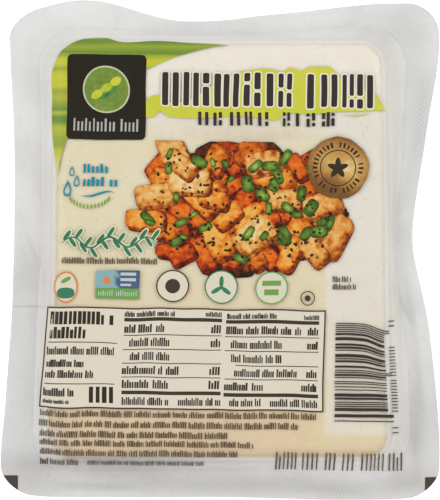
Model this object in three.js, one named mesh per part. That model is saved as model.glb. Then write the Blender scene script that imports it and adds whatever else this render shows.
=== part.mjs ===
// A pressed block of tofu sealed under vacuum in clear film, lying on its back with the label side up.
// A formed lower film holds the block, a flat upper film covers it, and the two are sealed together
// in a flange all round, which the vacuum draws in and curls up along the sides.
// Millimetres, +Z up, +Y towards the top of the label, origin on the floor under the pack's middle.
import * as THREE from 'three';
import { mergeVertices } from 'three/addons/utils/BufferGeometryUtils.js';

// The block inside its film
const BLOCK = { halfWidth: 47.6, halfLength: 59.2, cornerRadius: 10, height: 40 };
const BLOCK_TAPER = 0.017; // how much wider the foot of the block is than its middle, as a share
const SHOULDER_RADIUS = 5; // rounding of the block's upper edges
const HEEL_RADIUS = 4; // rounding of its lower edges
const FACE_SWELL = { depth: 0.3, spanX: 17, spanY: 23, phaseX: 0.6, phaseY: -0.4 }; // of the upper face

// The flange: the line where the films meet, and the line where they are cut
const SEAL = { halfWidth: 52.7, halfLength: 62.1, cornerRadius: 12, height: 33.5 };
const CUT = { halfWidth: 60.6, halfLength: 69.1, cornerRadius: 8.5, height: 32.6 };
const FLANGE_THICKNESS = 1.2;
const FLANGE_CURL = 1.4; // over 1, the flange bends more towards its cut edge
const RIPPLE = { height: 0.45, count: 17, swells: 3 }; // small waves of the cut edge, in a few long swells

// Where the vacuum has moved those lines: at [x, y], over a distance reach, by shift
const SEAL_PULLS = [
  { at: [52.7, 2], reach: 19, shift: [-4.2, 0, -3.5] }, // right side drawn in to the block
  { at: [52.7, 45], reach: 14, shift: [-1.2, 0, 0] },
  { at: [-52.7, 22], reach: 42, shift: [3.3, 0, -1.5] }, // left side, more gently
  { at: [-4, 62.1], reach: 25, shift: [0, -1.6, -2.5] }, // upper side
  { at: [10, -62.1], reach: 30, shift: [0, 0.3, -0.6] }, // lower side, barely
];
const CUT_PULLS = [
  { at: [60.6, 4.4], reach: 21.5, shift: [-7.5, 0, 3.6] }, // right side curled up
  { at: [60.6, -16], reach: 11, shift: [0.9, 0, 0] }, // and coming out of that curl faster below it
  { at: [-13, 69.1], reach: 11, shift: [0, -3.1, 3] }, // upper side curled up, steeper on its left
  { at: [6, 69.1], reach: 24, shift: [0, -3.5, 3] },
  { at: [-37, 69.1], reach: 9, shift: [0, 0.9, 0] },
  { at: [-60.6, 30], reach: 38, shift: [3.2, 0, 1.5] }, // left side raised a little
  { at: [-60.6, -10], reach: 20, shift: [1.4, 0, 0.5] },
  { at: [-40, -69.1], reach: 35, shift: [0, 0.8, 0.6] }, // lower side, less
  { at: [-58, 68], reach: 8, shift: [0.3, -3.2, -4] }, // upper left corner folded down
  { at: [58, 66], reach: 16, shift: [0, 0, -2.4] }, // the other corners droop
  { at: [58, -66], reach: 14, shift: [0, 0, -1.4] },
  { at: [-58, -66], reach: 14, shift: [0, 0, -1.2] },
];

// Gathers of spare film at the corners, counter-clockwise from the upper right
const GATHERS = [
  { period: 8.5, phase: 0.4 },
  { period: 7.5, phase: 2.1 },
  { period: 9.5, phase: 4.0 },
  { period: 8, phase: 5.3 },
];
const GATHER_REACH = 15;
const GATHER_ON_TOP = 0.7; // height of the gathers on the upper film
const GATHER_ON_WALL = 1.1; // how far they stand out from the block's walls
const WEB_DROP = 3; // the lower film meets the wall at least this far below the flange
const WEB_SLOPE = 1.9; // and this much lower for each millimetre that the flange stands off

// Fineness of the faceting
const MERGE_DISTANCE = 1e-4;
const STATIONS_A_SIDE = 32;
const STEPS = { face: 4, shoulder: 5, tent: 3, flange: 3, web: 3, wall: 4, heel: 4, base: 3 };
const CORNER_CROWDING = 0.45; // from 0, even stations, to 1, stations crowded into the corners

// A side's outward and along directions, counter-clockwise: right, upper, left, lower
const SIDES = [
  { out: [1, 0], along: [0, 1] },
  { out: [0, 1], along: [-1, 0] },
  { out: [-1, 0], along: [0, -1] },
  { out: [0, -1], along: [1, 0] },
];

// Station number i round the pack, as a side and a place on it from -1 to 1, from corner to corner
function station(i) {
  const side = Math.floor(i / STATIONS_A_SIDE) % SIDES.length;
  const even = (2 * (i % STATIONS_A_SIDE)) / STATIONS_A_SIDE - 1;
  const crowded = (3 * even - even ** 3) / 2;
  return { side, place: THREE.MathUtils.lerp(even, crowded, CORNER_CROWDING) };
}

// The point of a rounded rectangle at a station. inset moves the outline inwards.
function outline({ halfWidth, halfLength, cornerRadius }, { side, place }, inset = 0) {
  const [halfOut, halfAlong] = side % 2 ? [halfLength, halfWidth] : [halfWidth, halfLength];
  const radius = cornerRadius - inset;
  const straight = halfAlong - inset - radius;
  const distance = Math.abs(place) * (straight + (radius * Math.PI) / 4);
  const turn = Math.max(distance - straight, 0) / radius;
  const outwards = halfOut - inset - radius + radius * Math.cos(turn);
  const sideways = Math.sign(place) * (Math.min(distance, straight) + radius * Math.sin(turn));
  const { out, along } = SIDES[side];
  return new THREE.Vector2(
    out[0] * outwards + along[0] * sideways,
    out[1] * outwards + along[1] * sideways,
  );
}

// The block's outline, a little wider at the foot of the label
function blockOutline(place, inset = 0) {
  const point = outline(BLOCK, place, inset);
  point.x *= 1 - (BLOCK_TAPER * point.y) / BLOCK.halfLength;
  return point;
}

// A flange line after its pulls: a plan outline carried to its height, then moved by bell-shaped shifts
function pulledLine(line, pulls, place) {
  const plan = outline(line, place);
  const point = new THREE.Vector3(plan.x, plan.y, line.height);
  for (const { at, reach, shift } of pulls) {
    const distance = Math.hypot(plan.x - at[0], plan.y - at[1]);
    point.addScaledVector(new THREE.Vector3(...shift), Math.exp(-0.5 * (distance / reach) ** 2));
  }
  return point;
}

const sealLine = (place) => pulledLine(SEAL, SEAL_PULLS, place);

function cutLine(place) {
  const point = pulledLine(CUT, CUT_PULLS, place);
  const turn = Math.atan2(point.y, point.x);
  point.z += RIPPLE.height * Math.sin(RIPPLE.count * turn) * Math.cos(RIPPLE.swells * turn);
  return point;
}

// The gathers' wave at a station: largest at the corner and gone within GATHER_REACH of it
function gather({ side, place }) {
  const corner = place > 0 ? side : (side + 3) % 4;
  const halfAlong = side % 2 ? BLOCK.halfWidth : BLOCK.halfLength;
  const beyond = -Math.sign(place) * (1 - Math.abs(place)) * halfAlong;
  const { period, phase } = GATHERS[corner];
  return Math.exp(-((beyond / GATHER_REACH) ** 2)) * Math.cos((2 * Math.PI * beyond) / period + phase);
}

function faceHeight(x, y) {
  const { depth, spanX, spanY, phaseX, phaseY } = FACE_SWELL;
  return BLOCK.height - depth * (1 - Math.sin(x / spanX + phaseX) * Math.cos(y / spanY + phaseY));
}

// The shoulder turns through this angle before the upper film leaves it on a straight line to the seal
function shoulderTurn(wall, seal) {
  const across = SHOULDER_RADIUS + Math.hypot(seal.x - wall.x, seal.y - wall.y);
  const drop = BLOCK.height - SHOULDER_RADIUS - seal.z;
  const reach = Math.hypot(across, drop);
  return Math.PI / 2 - (Math.acos(SHOULDER_RADIUS / reach) - Math.atan2(drop, across));
}

function shoulder(place, turn) {
  const plan = blockOutline(place, SHOULDER_RADIUS * (1 - Math.sin(turn)));
  const height = faceHeight(plan.x, plan.y) - SHOULDER_RADIUS * (1 - Math.cos(turn));
  return new THREE.Vector3(plan.x, plan.y, height);
}

// The flange at a share of its width, from the seal line at 0 to the cut edge at 1
function flange(place, share, lift) {
  const seal = sealLine(place);
  const cut = cutLine(place);
  const point = seal.clone().lerp(cut, share);
  point.z = THREE.MathUtils.lerp(seal.z, cut.z, share ** FLANGE_CURL) + lift;
  return point;
}

// Each stretch of the pack's section, from share 0 to 1 of it, from the middle of the upper face
// out to the cut edge and back underneath to the middle of the lower face
const section = {
  face(place, share) {
    const plan = blockOutline(place, SHOULDER_RADIUS).multiplyScalar(share);
    return new THREE.Vector3(plan.x, plan.y, faceHeight(plan.x, plan.y));
  },
  shoulder(place, share) {
    return shoulder(place, share * shoulderTurn(blockOutline(place), sealLine(place)));
  },
  tent(place, share) {
    const start = section.shoulder(place, 1);
    const point = start.lerp(flange(place, 0, FLANGE_THICKNESS / 2), share);
    point.z += GATHER_ON_TOP * gather(place) * Math.sin(Math.PI * share);
    return point;
  },
  flangeTop: (place, share) => flange(place, share, FLANGE_THICKNESS / 2),
  flangeUnder: (place, share) => flange(place, 1 - share, -FLANGE_THICKNESS / 2),
  web(place, share) {
    return flange(place, 0, -FLANGE_THICKNESS / 2).lerp(section.wall(place, 0), share);
  },
  wall(place, share) {
    const plan = blockOutline(place);
    const seal = sealLine(place);
    const gap = Math.hypot(seal.x - plan.x, seal.y - plan.y);
    const top = seal.z - WEB_DROP - WEB_SLOPE * gap;
    const outwards = GATHER_ON_WALL * Math.max(gather(place), 0) * Math.cos((Math.PI / 2) * share);
    plan.addScaledVector(plan.clone().normalize(), outwards);
    return new THREE.Vector3(plan.x, plan.y, THREE.MathUtils.lerp(top, HEEL_RADIUS, share));
  },
  heel(place, share) {
    const turn = (share * Math.PI) / 2;
    const plan = blockOutline(place, HEEL_RADIUS * (1 - Math.cos(turn)));
    return new THREE.Vector3(plan.x, plan.y, HEEL_RADIUS * (1 - Math.sin(turn)));
  },
  base(place, share) {
    const plan = blockOutline(place, HEEL_RADIUS).multiplyScalar(1 - share);
    return new THREE.Vector3(plan.x, plan.y, 0);
  },
};

// The rows of the skin, from pole to pole. A stretch starts where the one before it ends,
// apart from the flange's underside, which starts a thickness below its top.
function skinRows() {
  const rows = [];
  const add = (part, steps, first) => {
    for (let i = first; i <= steps; i++) rows.push((place) => section[part](place, i / steps));
  };
  add('face', STEPS.face, 0);
  add('shoulder', STEPS.shoulder, 1);
  add('tent', STEPS.tent, 1);
  add('flangeTop', STEPS.flange, 1);
  add('flangeUnder', STEPS.flange, 0);
  add('web', STEPS.web, 1);
  add('wall', STEPS.wall, 1);
  add('heel', STEPS.heel, 1);
  add('base', STEPS.base, 1);
  return rows;
}

// A sphere's closed net of rows and stations, drawn out to the pack's shape
function packGeometry() {
  const rows = skinRows();
  const stations = STATIONS_A_SIDE * SIDES.length;
  const net = new THREE.SphereGeometry(1, stations, rows.length - 1);
  const position = net.getAttribute('position');
  for (let i = 0; i < position.count; i++) {
    const row = Math.floor(i / (stations + 1));
    const point = rows[row](station(i % (stations + 1)));
    position.setXYZ(i, point.x, point.y, point.z);
  }
  net.deleteAttribute('normal');
  net.deleteAttribute('uv');
  const closed = mergeVertices(net, MERGE_DISTANCE);
  closed.computeBoundingBox();
  const middle = closed.boundingBox.getCenter(new THREE.Vector3());
  closed.translate(-middle.x, -middle.y, -closed.boundingBox.min.z);
  closed.computeVertexNormals();
  return closed;
}

const filmOverTofu = new THREE.MeshStandardMaterial({ color: 0xe4d8bb, roughness: 0.35, metalness: 0 });

const pack = new THREE.Mesh(packGeometry(), filmOverTofu);
pack.name = 'sealed_tofu_pack';

const group = new THREE.Group();
group.add(pack);

export default group;
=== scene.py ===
import math

import bmesh
import bpy
import numpy as np
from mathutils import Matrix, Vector


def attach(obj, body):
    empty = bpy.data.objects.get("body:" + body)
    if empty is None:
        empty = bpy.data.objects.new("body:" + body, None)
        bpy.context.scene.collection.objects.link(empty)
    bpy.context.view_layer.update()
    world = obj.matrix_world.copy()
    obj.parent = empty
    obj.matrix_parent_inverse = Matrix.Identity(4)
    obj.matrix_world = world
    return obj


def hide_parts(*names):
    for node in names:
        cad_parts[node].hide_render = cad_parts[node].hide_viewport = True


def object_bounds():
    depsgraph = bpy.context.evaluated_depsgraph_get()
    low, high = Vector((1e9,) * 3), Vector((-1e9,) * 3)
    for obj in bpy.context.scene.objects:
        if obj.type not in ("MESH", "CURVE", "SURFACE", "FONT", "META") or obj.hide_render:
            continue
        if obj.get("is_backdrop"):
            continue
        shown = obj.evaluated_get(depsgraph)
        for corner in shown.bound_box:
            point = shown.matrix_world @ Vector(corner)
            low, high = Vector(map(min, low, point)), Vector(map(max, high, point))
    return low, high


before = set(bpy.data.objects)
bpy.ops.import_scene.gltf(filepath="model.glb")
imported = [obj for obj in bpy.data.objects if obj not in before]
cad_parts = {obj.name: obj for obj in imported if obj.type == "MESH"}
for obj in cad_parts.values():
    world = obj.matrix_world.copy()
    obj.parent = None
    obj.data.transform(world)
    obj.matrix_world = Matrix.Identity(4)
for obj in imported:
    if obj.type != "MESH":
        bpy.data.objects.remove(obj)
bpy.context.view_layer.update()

packNode = "sealed_tofu_pack"
# lengths are in millimetres, but for the shaders, the lights and the camera's place in metres
millimetre = 0.001

# the pack's form, in the same named sizes as its solid
packForm = {
    "blockHalf": (47.6, 59.2), "blockCorner": 8.5, "blockHeight": 40.0, "blockTaper": 0.017,
    "shoulder": 5.0, "heel": 4.0,
    "sealHalf": (52.7, 62.1), "sealCorner": 12.0, "sealHeight": 33.5,
    "cutHalf": (60.6, 69.1), "cutCorner": 8.5, "cutHeight": 32.6,
    "flangeCurl": 1.4, "rippleHeight": 0.45, "rippleCount": 17, "rippleSwells": 3,
    "webDrop": 3.0, "webSlope": 1.9,
}
packCentre = np.array((0.083, -0.039))  # middle of the solid's plan, the origin of the frame

# where the vacuum has moved a line: x, y, reach, then the shift in x, y and z
sealPulls = np.array([
    (52.7, 2, 19, -4.2, 0, -1.2),
    (52.7, 45, 14, -1.2, 0, 0),
    (-52.7, 22, 42, 3.3, 0, -0.6),
    (-4, 62.1, 25, 0, -1.6, -0.4),
    (10, -62.1, 30, 0, 0.3, -0.3),
])
cutPulls = np.array([
    (60.6, 4.4, 21.5, -7.4, 0, 1.6),
    (60.6, -16, 11, 0.9, 0, 0),
    (-13, 69.1, 11, 0, -2.6, 0.2),
    (6, 69.1, 24, 0, -3.9, 0.5),
    (2, 69.1, 5, 0, -0.35, 0),
    (-37, 69.1, 9, 0, 0.9, 0),
    (-44, 69.1, 12, 0, 0.4, 0),
    (45, 69.1, 14, 0, 0.45, 0),
    (-60.6, 30, 38, 3.5, 0, 0.8),
    (-60.6, -10, 20, 1.0, 0, 0.5),
    (-40, -69.1, 35, 0, 0.73, 0.6),
    (-58, 68, 8, 0.3, -3.2, -3),
    (58, 66, 16, 0, 0, -2.0),
    (58, -66, 14, 0, 0, -1.4),
    (-58, -66, 14, 0, 0, -1.2),
    (60.6, 55, 8, 0.6, 0, 0),
    (56, 66.5, 7, -0.2, -0.4, 0),
    (-57, 64, 7, -0.3, 0.25, 0),
    (-60.6, 50, 10, -0.4, 0, 0),
    (-60.6, -23, 11, 0.42, 0, 0),
    (-60.6, -42, 9, 0.2, 0, 0),
    (-60.6, -58, 6, -0.6, 0, 0),
    (-59, -69.1, 5.5, 0.1, 1.0, 0),
    (2, -69.1, 12, 0, 0.42, 0),
    (35, -69.1, 8, 0, -0.12, 0),
    (59, -69.1, 5, -0.3, 0.9, 0),
    (60.6, -54, 9, 0.38, 0, 0),
    (60.6, 2, 5, -0.35, 0, 0),
    (60.6, 16, 8, 0.25, 0, 0),
    (60.6, -31, 7, -0.1, 0, 0),
    (60.6, 39, 9, -0.5, 0, 0),
])

# spare film gathered at the corners, counter-clockwise from the upper right
gathers = {
    "period": np.array((8.5, 7.5, 9.5, 8.0)), "phase": np.array((0.4, 2.1, 4.0, 5.3)),
    "reach": 15.0, "onTop": 0.3, "onWall": 1.1,
}

outX = np.array((1, 0, -1, 0))
outY = np.array((0, 1, 0, -1))
alongX = np.array((0, -1, 0, 1))
alongY = np.array((1, 0, -1, 0))


def sideAndPlace(turn):
    # turn runs 0 to 8 round the pack from its lower right corner: side = turn // 2, place from -1 to 1
    turn = np.mod(turn, 8.0)
    side = np.minimum((turn // 2).astype(int), 3)
    return side, turn - 2 * side - 1


def roundedPlan(turn, half, corner, inset=0.0):
    # rounded rectangle at a turn: a straight run from mid-side, then 45 degrees of arc of the corner's radius
    side, place = sideAndPlace(turn)
    odd = side % 2 == 1
    halfOut = np.where(odd, half[1], half[0])
    halfAlong = np.where(odd, half[0], half[1])
    radius = corner - inset
    straight = halfAlong - inset - radius
    distance = np.abs(place) * (straight + radius * math.pi / 4)
    bend = np.maximum(distance - straight, 0) / radius
    outwards = halfOut - inset - radius + radius * np.cos(bend)
    sideways = np.sign(place) * (np.minimum(distance, straight) + radius * np.sin(bend))
    return outX[side] * outwards + alongX[side] * sideways, outY[side] * outwards + alongY[side] * sideways


def blockPlan(turn, inset=0.0):
    # the block's outline: x is scaled by 1 - taper * y / half length
    x, y = roundedPlan(turn, packForm["blockHalf"], packForm["blockCorner"], inset)
    return x * (1 - packForm["blockTaper"] * y / packForm["blockHalf"][1]), y


def pulledLine(turn, half, corner, height, pulls):
    # plan outline at its height, plus the sum of shift * exp(-0.5 (distance / reach)^2)
    x, y = roundedPlan(turn, half, corner)
    distance = np.hypot(x[..., None] - pulls[:, 0], y[..., None] - pulls[:, 1])
    weight = np.exp(-0.5 * (distance / pulls[:, 2]) ** 2)
    return np.stack((x, y, np.full_like(x, height)), -1) + weight @ pulls[:, 3:]


def sealLine(turn):
    # the line along which the two films are sealed
    return pulledLine(turn, packForm["sealHalf"], packForm["sealCorner"], packForm["sealHeight"], sealPulls)


def cutLine(turn):
    # the cut edge, with ripples: height * sin(count * angle) * cos(swells * angle)
    line = pulledLine(turn, packForm["cutHalf"], packForm["cutCorner"], packForm["cutHeight"], cutPulls)
    angle = np.arctan2(line[..., 1], line[..., 0])
    line[..., 2] += (packForm["rippleHeight"] * np.sin(packForm["rippleCount"] * angle)
                     * np.cos(packForm["rippleSwells"] * angle))
    return line


def gatherWave(turn):
    # exp(-(beyond / reach)^2) * cos(2 pi beyond / period + phase), beyond counted from the nearest corner
    side, place = sideAndPlace(turn)
    corner = np.where(place > 0, side, (side + 3) % 4)
    halfAlong = np.where(side % 2 == 1, packForm["blockHalf"][0], packForm["blockHalf"][1])
    beyond = -np.sign(place) * (1 - np.abs(place)) * halfAlong
    period, phase = gathers["period"][corner], gathers["phase"][corner]
    return np.exp(-((beyond / gathers["reach"]) ** 2)) * np.cos(2 * math.pi * beyond / period + phase)


def smoothStep(low, high, value):
    # 3 s^2 - 2 s^3 of the share s of the way from low to high
    share = np.clip((value - low) / (high - low), 0, 1)
    return share * share * (3 - 2 * share)


def softNoise(x, y, size, seed, waves=14):
    # sum of sines along random directions with wavelengths near size, scaled to about -1 to 1
    draw = np.random.default_rng(seed)
    angle = draw.uniform(0, 2 * math.pi, waves)
    length = size * draw.uniform(0.6, 1.7, waves)
    phase = draw.uniform(0, 2 * math.pi, waves)
    total = np.zeros(np.broadcast(x, y).shape)
    for k in range(waves):
        way = x * math.cos(angle[k]) + y * math.sin(angle[k])
        total += np.sin(2 * math.pi * way / length[k] + phase[k])
    return total / math.sqrt(waves * 1.6)


def blockPlace(x, y):
    # nearest place on the block's outline: its turn, and the way out from it (negative inside)
    halfX, halfY = packForm["blockHalf"]
    corner = packForm["blockCorner"]
    straightX = x / (1 - packForm["blockTaper"] * y / halfY)
    coreX = np.clip(straightX, corner - halfX, halfX - corner)
    coreY = np.clip(y, corner - halfY, halfY - corner)
    awayX, awayY = straightX - coreX, y - coreY
    angle = np.arctan2(awayY, awayX)
    side = np.mod(np.round(angle / (math.pi / 2)).astype(int), 4)
    local = np.mod(angle - side * math.pi / 2 + math.pi, 2 * math.pi) - math.pi
    along = coreX * alongX[side] + coreY * alongY[side]
    straight = np.where(side % 2 == 1, halfX, halfY) - corner
    place = (along + corner * local) / (straight + corner * math.pi / 4)
    return 2 * side + place + 1, np.hypot(awayX, awayY) - corner


def sealTable():
    # the seal line's way out from the block, and its height, listed by the turn of the block's nearest place
    points = sealLine(np.linspace(0, 8, 3000, endpoint=False))
    turn, away = blockPlace(points[:, 0], points[:, 1])
    order = np.argsort(np.mod(turn, 8))
    return np.mod(turn, 8)[order], away[order], points[order, 2]


tableTurn, tableAway, tableHeight = sealTable()

filmForm = {
    "thickness": 0.12, "overBlock": 0.2, "overSeal": 0.2, "hollow": 1.5,
    "faceSwell": 0.3, "swellSpan": (17.0, 23.0), "swellPhase": (0.6, -0.4),
    "wrinkle": 0.04, "wrinkleSize": 9.0, "tentWrinkle": 0.07, "tentWrinkleSize": 6.0,
}

# creases pressed into the tent and flange: from x, y to x, y, then width and height
creases = [
    (21.9, 60.6, 37.5, 63.7, 1.2, 0.5),
    (37.5, 63.7, 40.3, 67.0, 1.0, 0.4),
    (50.7, 37.8, 48.8, 25.4, 0.9, -0.5),
    (46.1, -8.1, 53.5, -21.9, 1.3, -0.6),
    (53.2, -50.7, 54.3, -60.4, 1.0, -0.4),
    (49.4, -21.9, 50.0, -52.0, 0.9, 0.35),
    (-56.0, 10.0, -49.4, -5.4, 1.5, -0.6),
    (-52.4, 19.4, -49.1, 12.5, 1.5, 0.45),
    (-12.5, -60.1, 41.0, -60.6, 0.7, 0.3),
    (-57.5, -15.7, -47.7, -15.5, 0.3, -0.16),
]
creaseFade = (2.0, 1.5)  # a crease starts this far before its end, and is full this far past it

# painted shade on the lid film and flange, with brownish stains on the left flange: x, y, reach in x and y,
# amount
shadeAndStainSpots = [
    (-52.4, -3.2, 5, 8, 0.3), (50.7, 61.2, 9, 7, 0.42), (5, -64.8, 60, 3.1, 0.6), (53, -64, 8, 5, 0.2),
    (53.8, -46, 2.2, 14, 0.5), (-54, -60, 9, 7, 0.35), (-52.5, -15.6, 5.5, 0.3, 0.5), (56, 34, 5, 22, 0.36),
    (-55, -38, 6, 14, 0.25), (59, -50, 4, 14, 0.25), (-52, 52, 12, 12, 0.12), (49.3, -50, 3.2, 16, 0.32),
    (51.5, -16, 2.6, 9, 0.22), (47.5, 28, 3, 16, 0.12), (55, 14, 4, 9, 0.04), (-57, -14, 5, 13, 0.22),
    (22, 59.5, 14, 2, 0.12), (54.2, -53, 2.2, 5, 0.2), (36, -68, 12, 2.4, 0.35), (-28, -59, 25, 3.2, 0.9),
]


def creaseHeight(x, y):
    # sum over creases of height * exp(-(offset / width)^2), faded at both ends
    total = np.zeros(np.shape(x))
    for x0, y0, x1, y1, width, height in creases:
        length = math.hypot(x1 - x0, y1 - y0)
        wayX, wayY = (x1 - x0) / length, (y1 - y0) / length
        run = (x - x0) * wayX + (y - y0) * wayY
        off = (x - x0) * wayY - (y - y0) * wayX
        fade = smoothStep(-creaseFade[0], creaseFade[1], run)
        fade = fade * smoothStep(length + creaseFade[0], length - creaseFade[1], run)
        total += height * fade * np.exp(-((off / width) ** 2))
    return total


def shadeAndStainAt(x, y):
    # sum over spots of amount * exp(-(offX / reachX)^2 - (offY / reachY)^2), at most 1
    total = np.zeros(np.shape(x))
    for spotX, spotY, reachX, reachY, amount in shadeAndStainSpots:
        total += amount * np.exp(-(((x - spotX) / reachX) ** 2) - ((y - spotY) / reachY) ** 2)
    return np.minimum(total, 1)


def faceHeight(x, y):
    # height - swell * (1 - sin(x / span + phase) * cos(y / span + phase))
    spanX, spanY = filmForm["swellSpan"]
    phaseX, phaseY = filmForm["swellPhase"]
    return packForm["blockHeight"] - filmForm["faceSwell"] * (
        1 - np.sin(x / spanX + phaseX) * np.cos(y / spanY + phaseY))


def lidForm(x, y):
    # the upper film: flat over the block, an arc of the shoulder's radius, then a tent drawn down to the seal
    # as (1 - share) ^ hollow, with gathers, wrinkles and creases. Gives its height, share and way out
    turn, away = blockPlace(x, y)
    radius = packForm["shoulder"]
    face = faceHeight(x, y)
    sealAway = np.interp(turn, tableTurn, tableAway, period=8)
    sealHeight = np.interp(turn, tableTurn, tableHeight, period=8) + filmForm["overSeal"]
    drop = face - radius - sealHeight
    reach = np.hypot(radius + sealAway, drop)
    bend = math.pi / 2 - (np.arccos(radius / reach) - np.arctan2(drop, radius + sealAway))
    across = np.clip(away + radius, 0, radius * np.sin(bend))
    arc = face - radius + np.sqrt(radius ** 2 - across ** 2)
    leaveAway = radius * np.sin(bend) - radius
    leaveHeight = face - radius + radius * np.cos(bend)
    share = np.clip((away - leaveAway) / (sealAway - leaveAway), 0, 1)
    tent = sealHeight + (leaveHeight - sealHeight) * (1 - share) ** filmForm["hollow"]
    hang = np.sin(math.pi * share)
    height = np.where(away < leaveAway, arc, tent)
    height += hang * gathers["onTop"] * gatherWave(turn)
    height += filmForm["wrinkle"] * softNoise(x, y, filmForm["wrinkleSize"], 11) * (1 - hang)
    height += filmForm["tentWrinkle"] * softNoise(x, y, filmForm["tentWrinkleSize"], 12) * hang
    return height + creaseHeight(x, y), share, away


def flangePoint(turn, share):
    # middle of the flange: straight from seal line to cut line in plan, height following share ^ curl
    seal, cut = sealLine(turn), cutLine(turn)
    point = seal + (cut - seal) * share[..., None]
    rise = np.sign(share) * np.abs(share) ** packForm["flangeCurl"]
    point[..., 2] = seal[..., 2] + (cut[..., 2] - seal[..., 2]) * rise
    return point


def gridQuads(rows, columns, wrapRows=False, wrapColumns=False, flip=False):
    # quads of a rows by columns grid of numbered points, closed on itself where asked
    i, j = np.meshgrid(np.arange(rows if wrapRows else rows - 1),
                       np.arange(columns if wrapColumns else columns - 1), indexing="ij")
    nextI, nextJ = (i + 1) % rows, (j + 1) % columns
    quads = np.stack((i * columns + j, nextI * columns + j, nextI * columns + nextJ, i * columns + nextJ), -1)
    quads = quads.reshape(-1, 4)
    return quads[:, ::-1] if flip else quads


def makePiece(name, points, quads, material, values=None):
    # points in the pack's own frame, moved so that the middle of its plan is the origin
    mesh = bpy.data.meshes.new(name)
    placed = (points - (packCentre[0], packCentre[1], 0)) * millimetre
    mesh.vertices.add(len(placed))
    mesh.vertices.foreach_set("co", placed.astype(np.float32).ravel())
    mesh.loops.add(quads.size)
    mesh.loops.foreach_set("vertex_index", quads.astype(np.int32).ravel())
    mesh.polygons.add(len(quads))
    mesh.polygons.foreach_set("loop_start", np.arange(0, quads.size, 4, dtype=np.int32))
    mesh.polygons.foreach_set("use_smooth", np.ones(len(quads), dtype=bool))
    mesh.update(calc_edges=True)
    for key, data in (values or {}).items():
        mesh.attributes.new(key, "FLOAT", "POINT").data.foreach_set("value", data.astype(np.float32).ravel())
    mesh.materials.append(material)
    piece = bpy.data.objects.new(name, mesh)
    bpy.context.scene.collection.objects.link(piece)
    return piece


def dressPack(piece):
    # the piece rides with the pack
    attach(piece, "root")
    return piece


def weld(piece, distance, closed=False):
    # merges points closer than distance, so that seams and poles close, and faces a closed body outwards
    work = bmesh.new()
    work.from_mesh(piece.data)
    bmesh.ops.remove_doubles(work, verts=work.verts, dist=distance * millimetre)
    if closed:
        bmesh.ops.recalc_face_normals(work, faces=work.faces)
    work.to_mesh(piece.data)
    work.free()


def thicken(piece, thickness):
    # the sheet gains its thickness on the inner side
    shell = piece.modifiers.new("thickness", "SOLIDIFY")
    shell.thickness = thickness * millimetre
    shell.offset = -1.0
    shell.use_rim = True


# node helpers
def link(tree, source, target):
    tree.links.new(source, target)


def mathNode(tree, operation, first, second, clamp=False):
    node = tree.nodes.new("ShaderNodeMath")
    node.operation = operation
    node.use_clamp = clamp
    for number, value in enumerate((first, second)):
        if isinstance(value, (int, float)):
            node.inputs[number].default_value = value
        else:
            link(tree, value, node.inputs[number])
    return node.outputs[0]


def noiseNode(tree, vector, scale, detail=2.0, roughness=0.5):
    node = tree.nodes.new("ShaderNodeTexNoise")
    node.inputs["Scale"].default_value = scale
    node.inputs["Detail"].default_value = detail
    node.inputs["Roughness"].default_value = roughness
    link(tree, vector, node.inputs["Vector"])
    return node.outputs["Fac"]


def mixColour(tree, factor, first, second, blend="MIX"):
    node = tree.nodes.new("ShaderNodeMix")
    node.data_type = "RGBA"
    node.blend_type = blend
    for key, value in (("Factor", factor), ("A", first), ("B", second)):
        socket = next(s for s in node.inputs if s.name == key and s.enabled)
        if isinstance(value, (int, float)):
            socket.default_value = value
        elif isinstance(value, tuple):
            socket.default_value = (*value, 1)
        else:
            link(tree, value, socket)
    return next(s for s in node.outputs if s.enabled)


def mapRange(tree, value, low, high, toLow=0.0, toHigh=1.0, smooth=True):
    node = tree.nodes.new("ShaderNodeMapRange")
    node.interpolation_type = "SMOOTHSTEP" if smooth else "LINEAR"
    link(tree, value, node.inputs["Value"])
    for key, number in (("From Min", low), ("From Max", high), ("To Min", toLow), ("To Max", toHigh)):
        node.inputs[key].default_value = number
    return node.outputs["Result"]


def rampNode(tree, value, tones):
    # a colour ramp through (position, colour) pairs, the colours as a screen shows them
    ramp = tree.nodes.new("ShaderNodeValToRGB")
    elements = ramp.color_ramp.elements
    for number, (position, colour) in enumerate(tones):
        element = elements[number] if number < 2 else elements.new(position)
        element.position = position
        element.color = (*screenColour(*colour), 1)
    link(tree, value, ramp.inputs["Fac"])
    return ramp.outputs["Color"]


def attributeNode(tree, name):
    node = tree.nodes.new("ShaderNodeAttribute")
    node.attribute_name = name
    return node.outputs["Fac"]


def screenColour(red, green, blue):
    # a colour as a screen shows it, 0 to 255, turned into linear light
    share = np.array((red, green, blue)) / 255
    light = np.where(share <= 0.04045, share / 12.92, ((share + 0.055) / 1.055) ** 2.4)
    return tuple(float(v) for v in light)


def noiseGroup(name, noises, output, clamp=False):
    # adds two noises, each times its amount: the amount's name and usual value, then scale and detail
    group = bpy.data.node_groups.new(name, "ShaderNodeTree")
    group.interface.new_socket(name="Vector", in_out="INPUT", socket_type="NodeSocketVector")
    for amount, usual, _, _ in noises:
        socket = group.interface.new_socket(name=amount, in_out="INPUT", socket_type="NodeSocketFloat")
        socket.default_value = usual
    group.interface.new_socket(name=output, in_out="OUTPUT", socket_type="NodeSocketFloat")
    start, end = group.nodes.new("NodeGroupInput"), group.nodes.new("NodeGroupOutput")
    parts = []
    for amount, _, scale, detail in noises:
        noise = noiseNode(group, start.outputs["Vector"], scale, detail)
        parts.append(mathNode(group, "MULTIPLY", noise, start.outputs[amount]))
    link(group, mathNode(group, "ADD", *parts, clamp=clamp), end.inputs[output])
    return group


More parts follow.
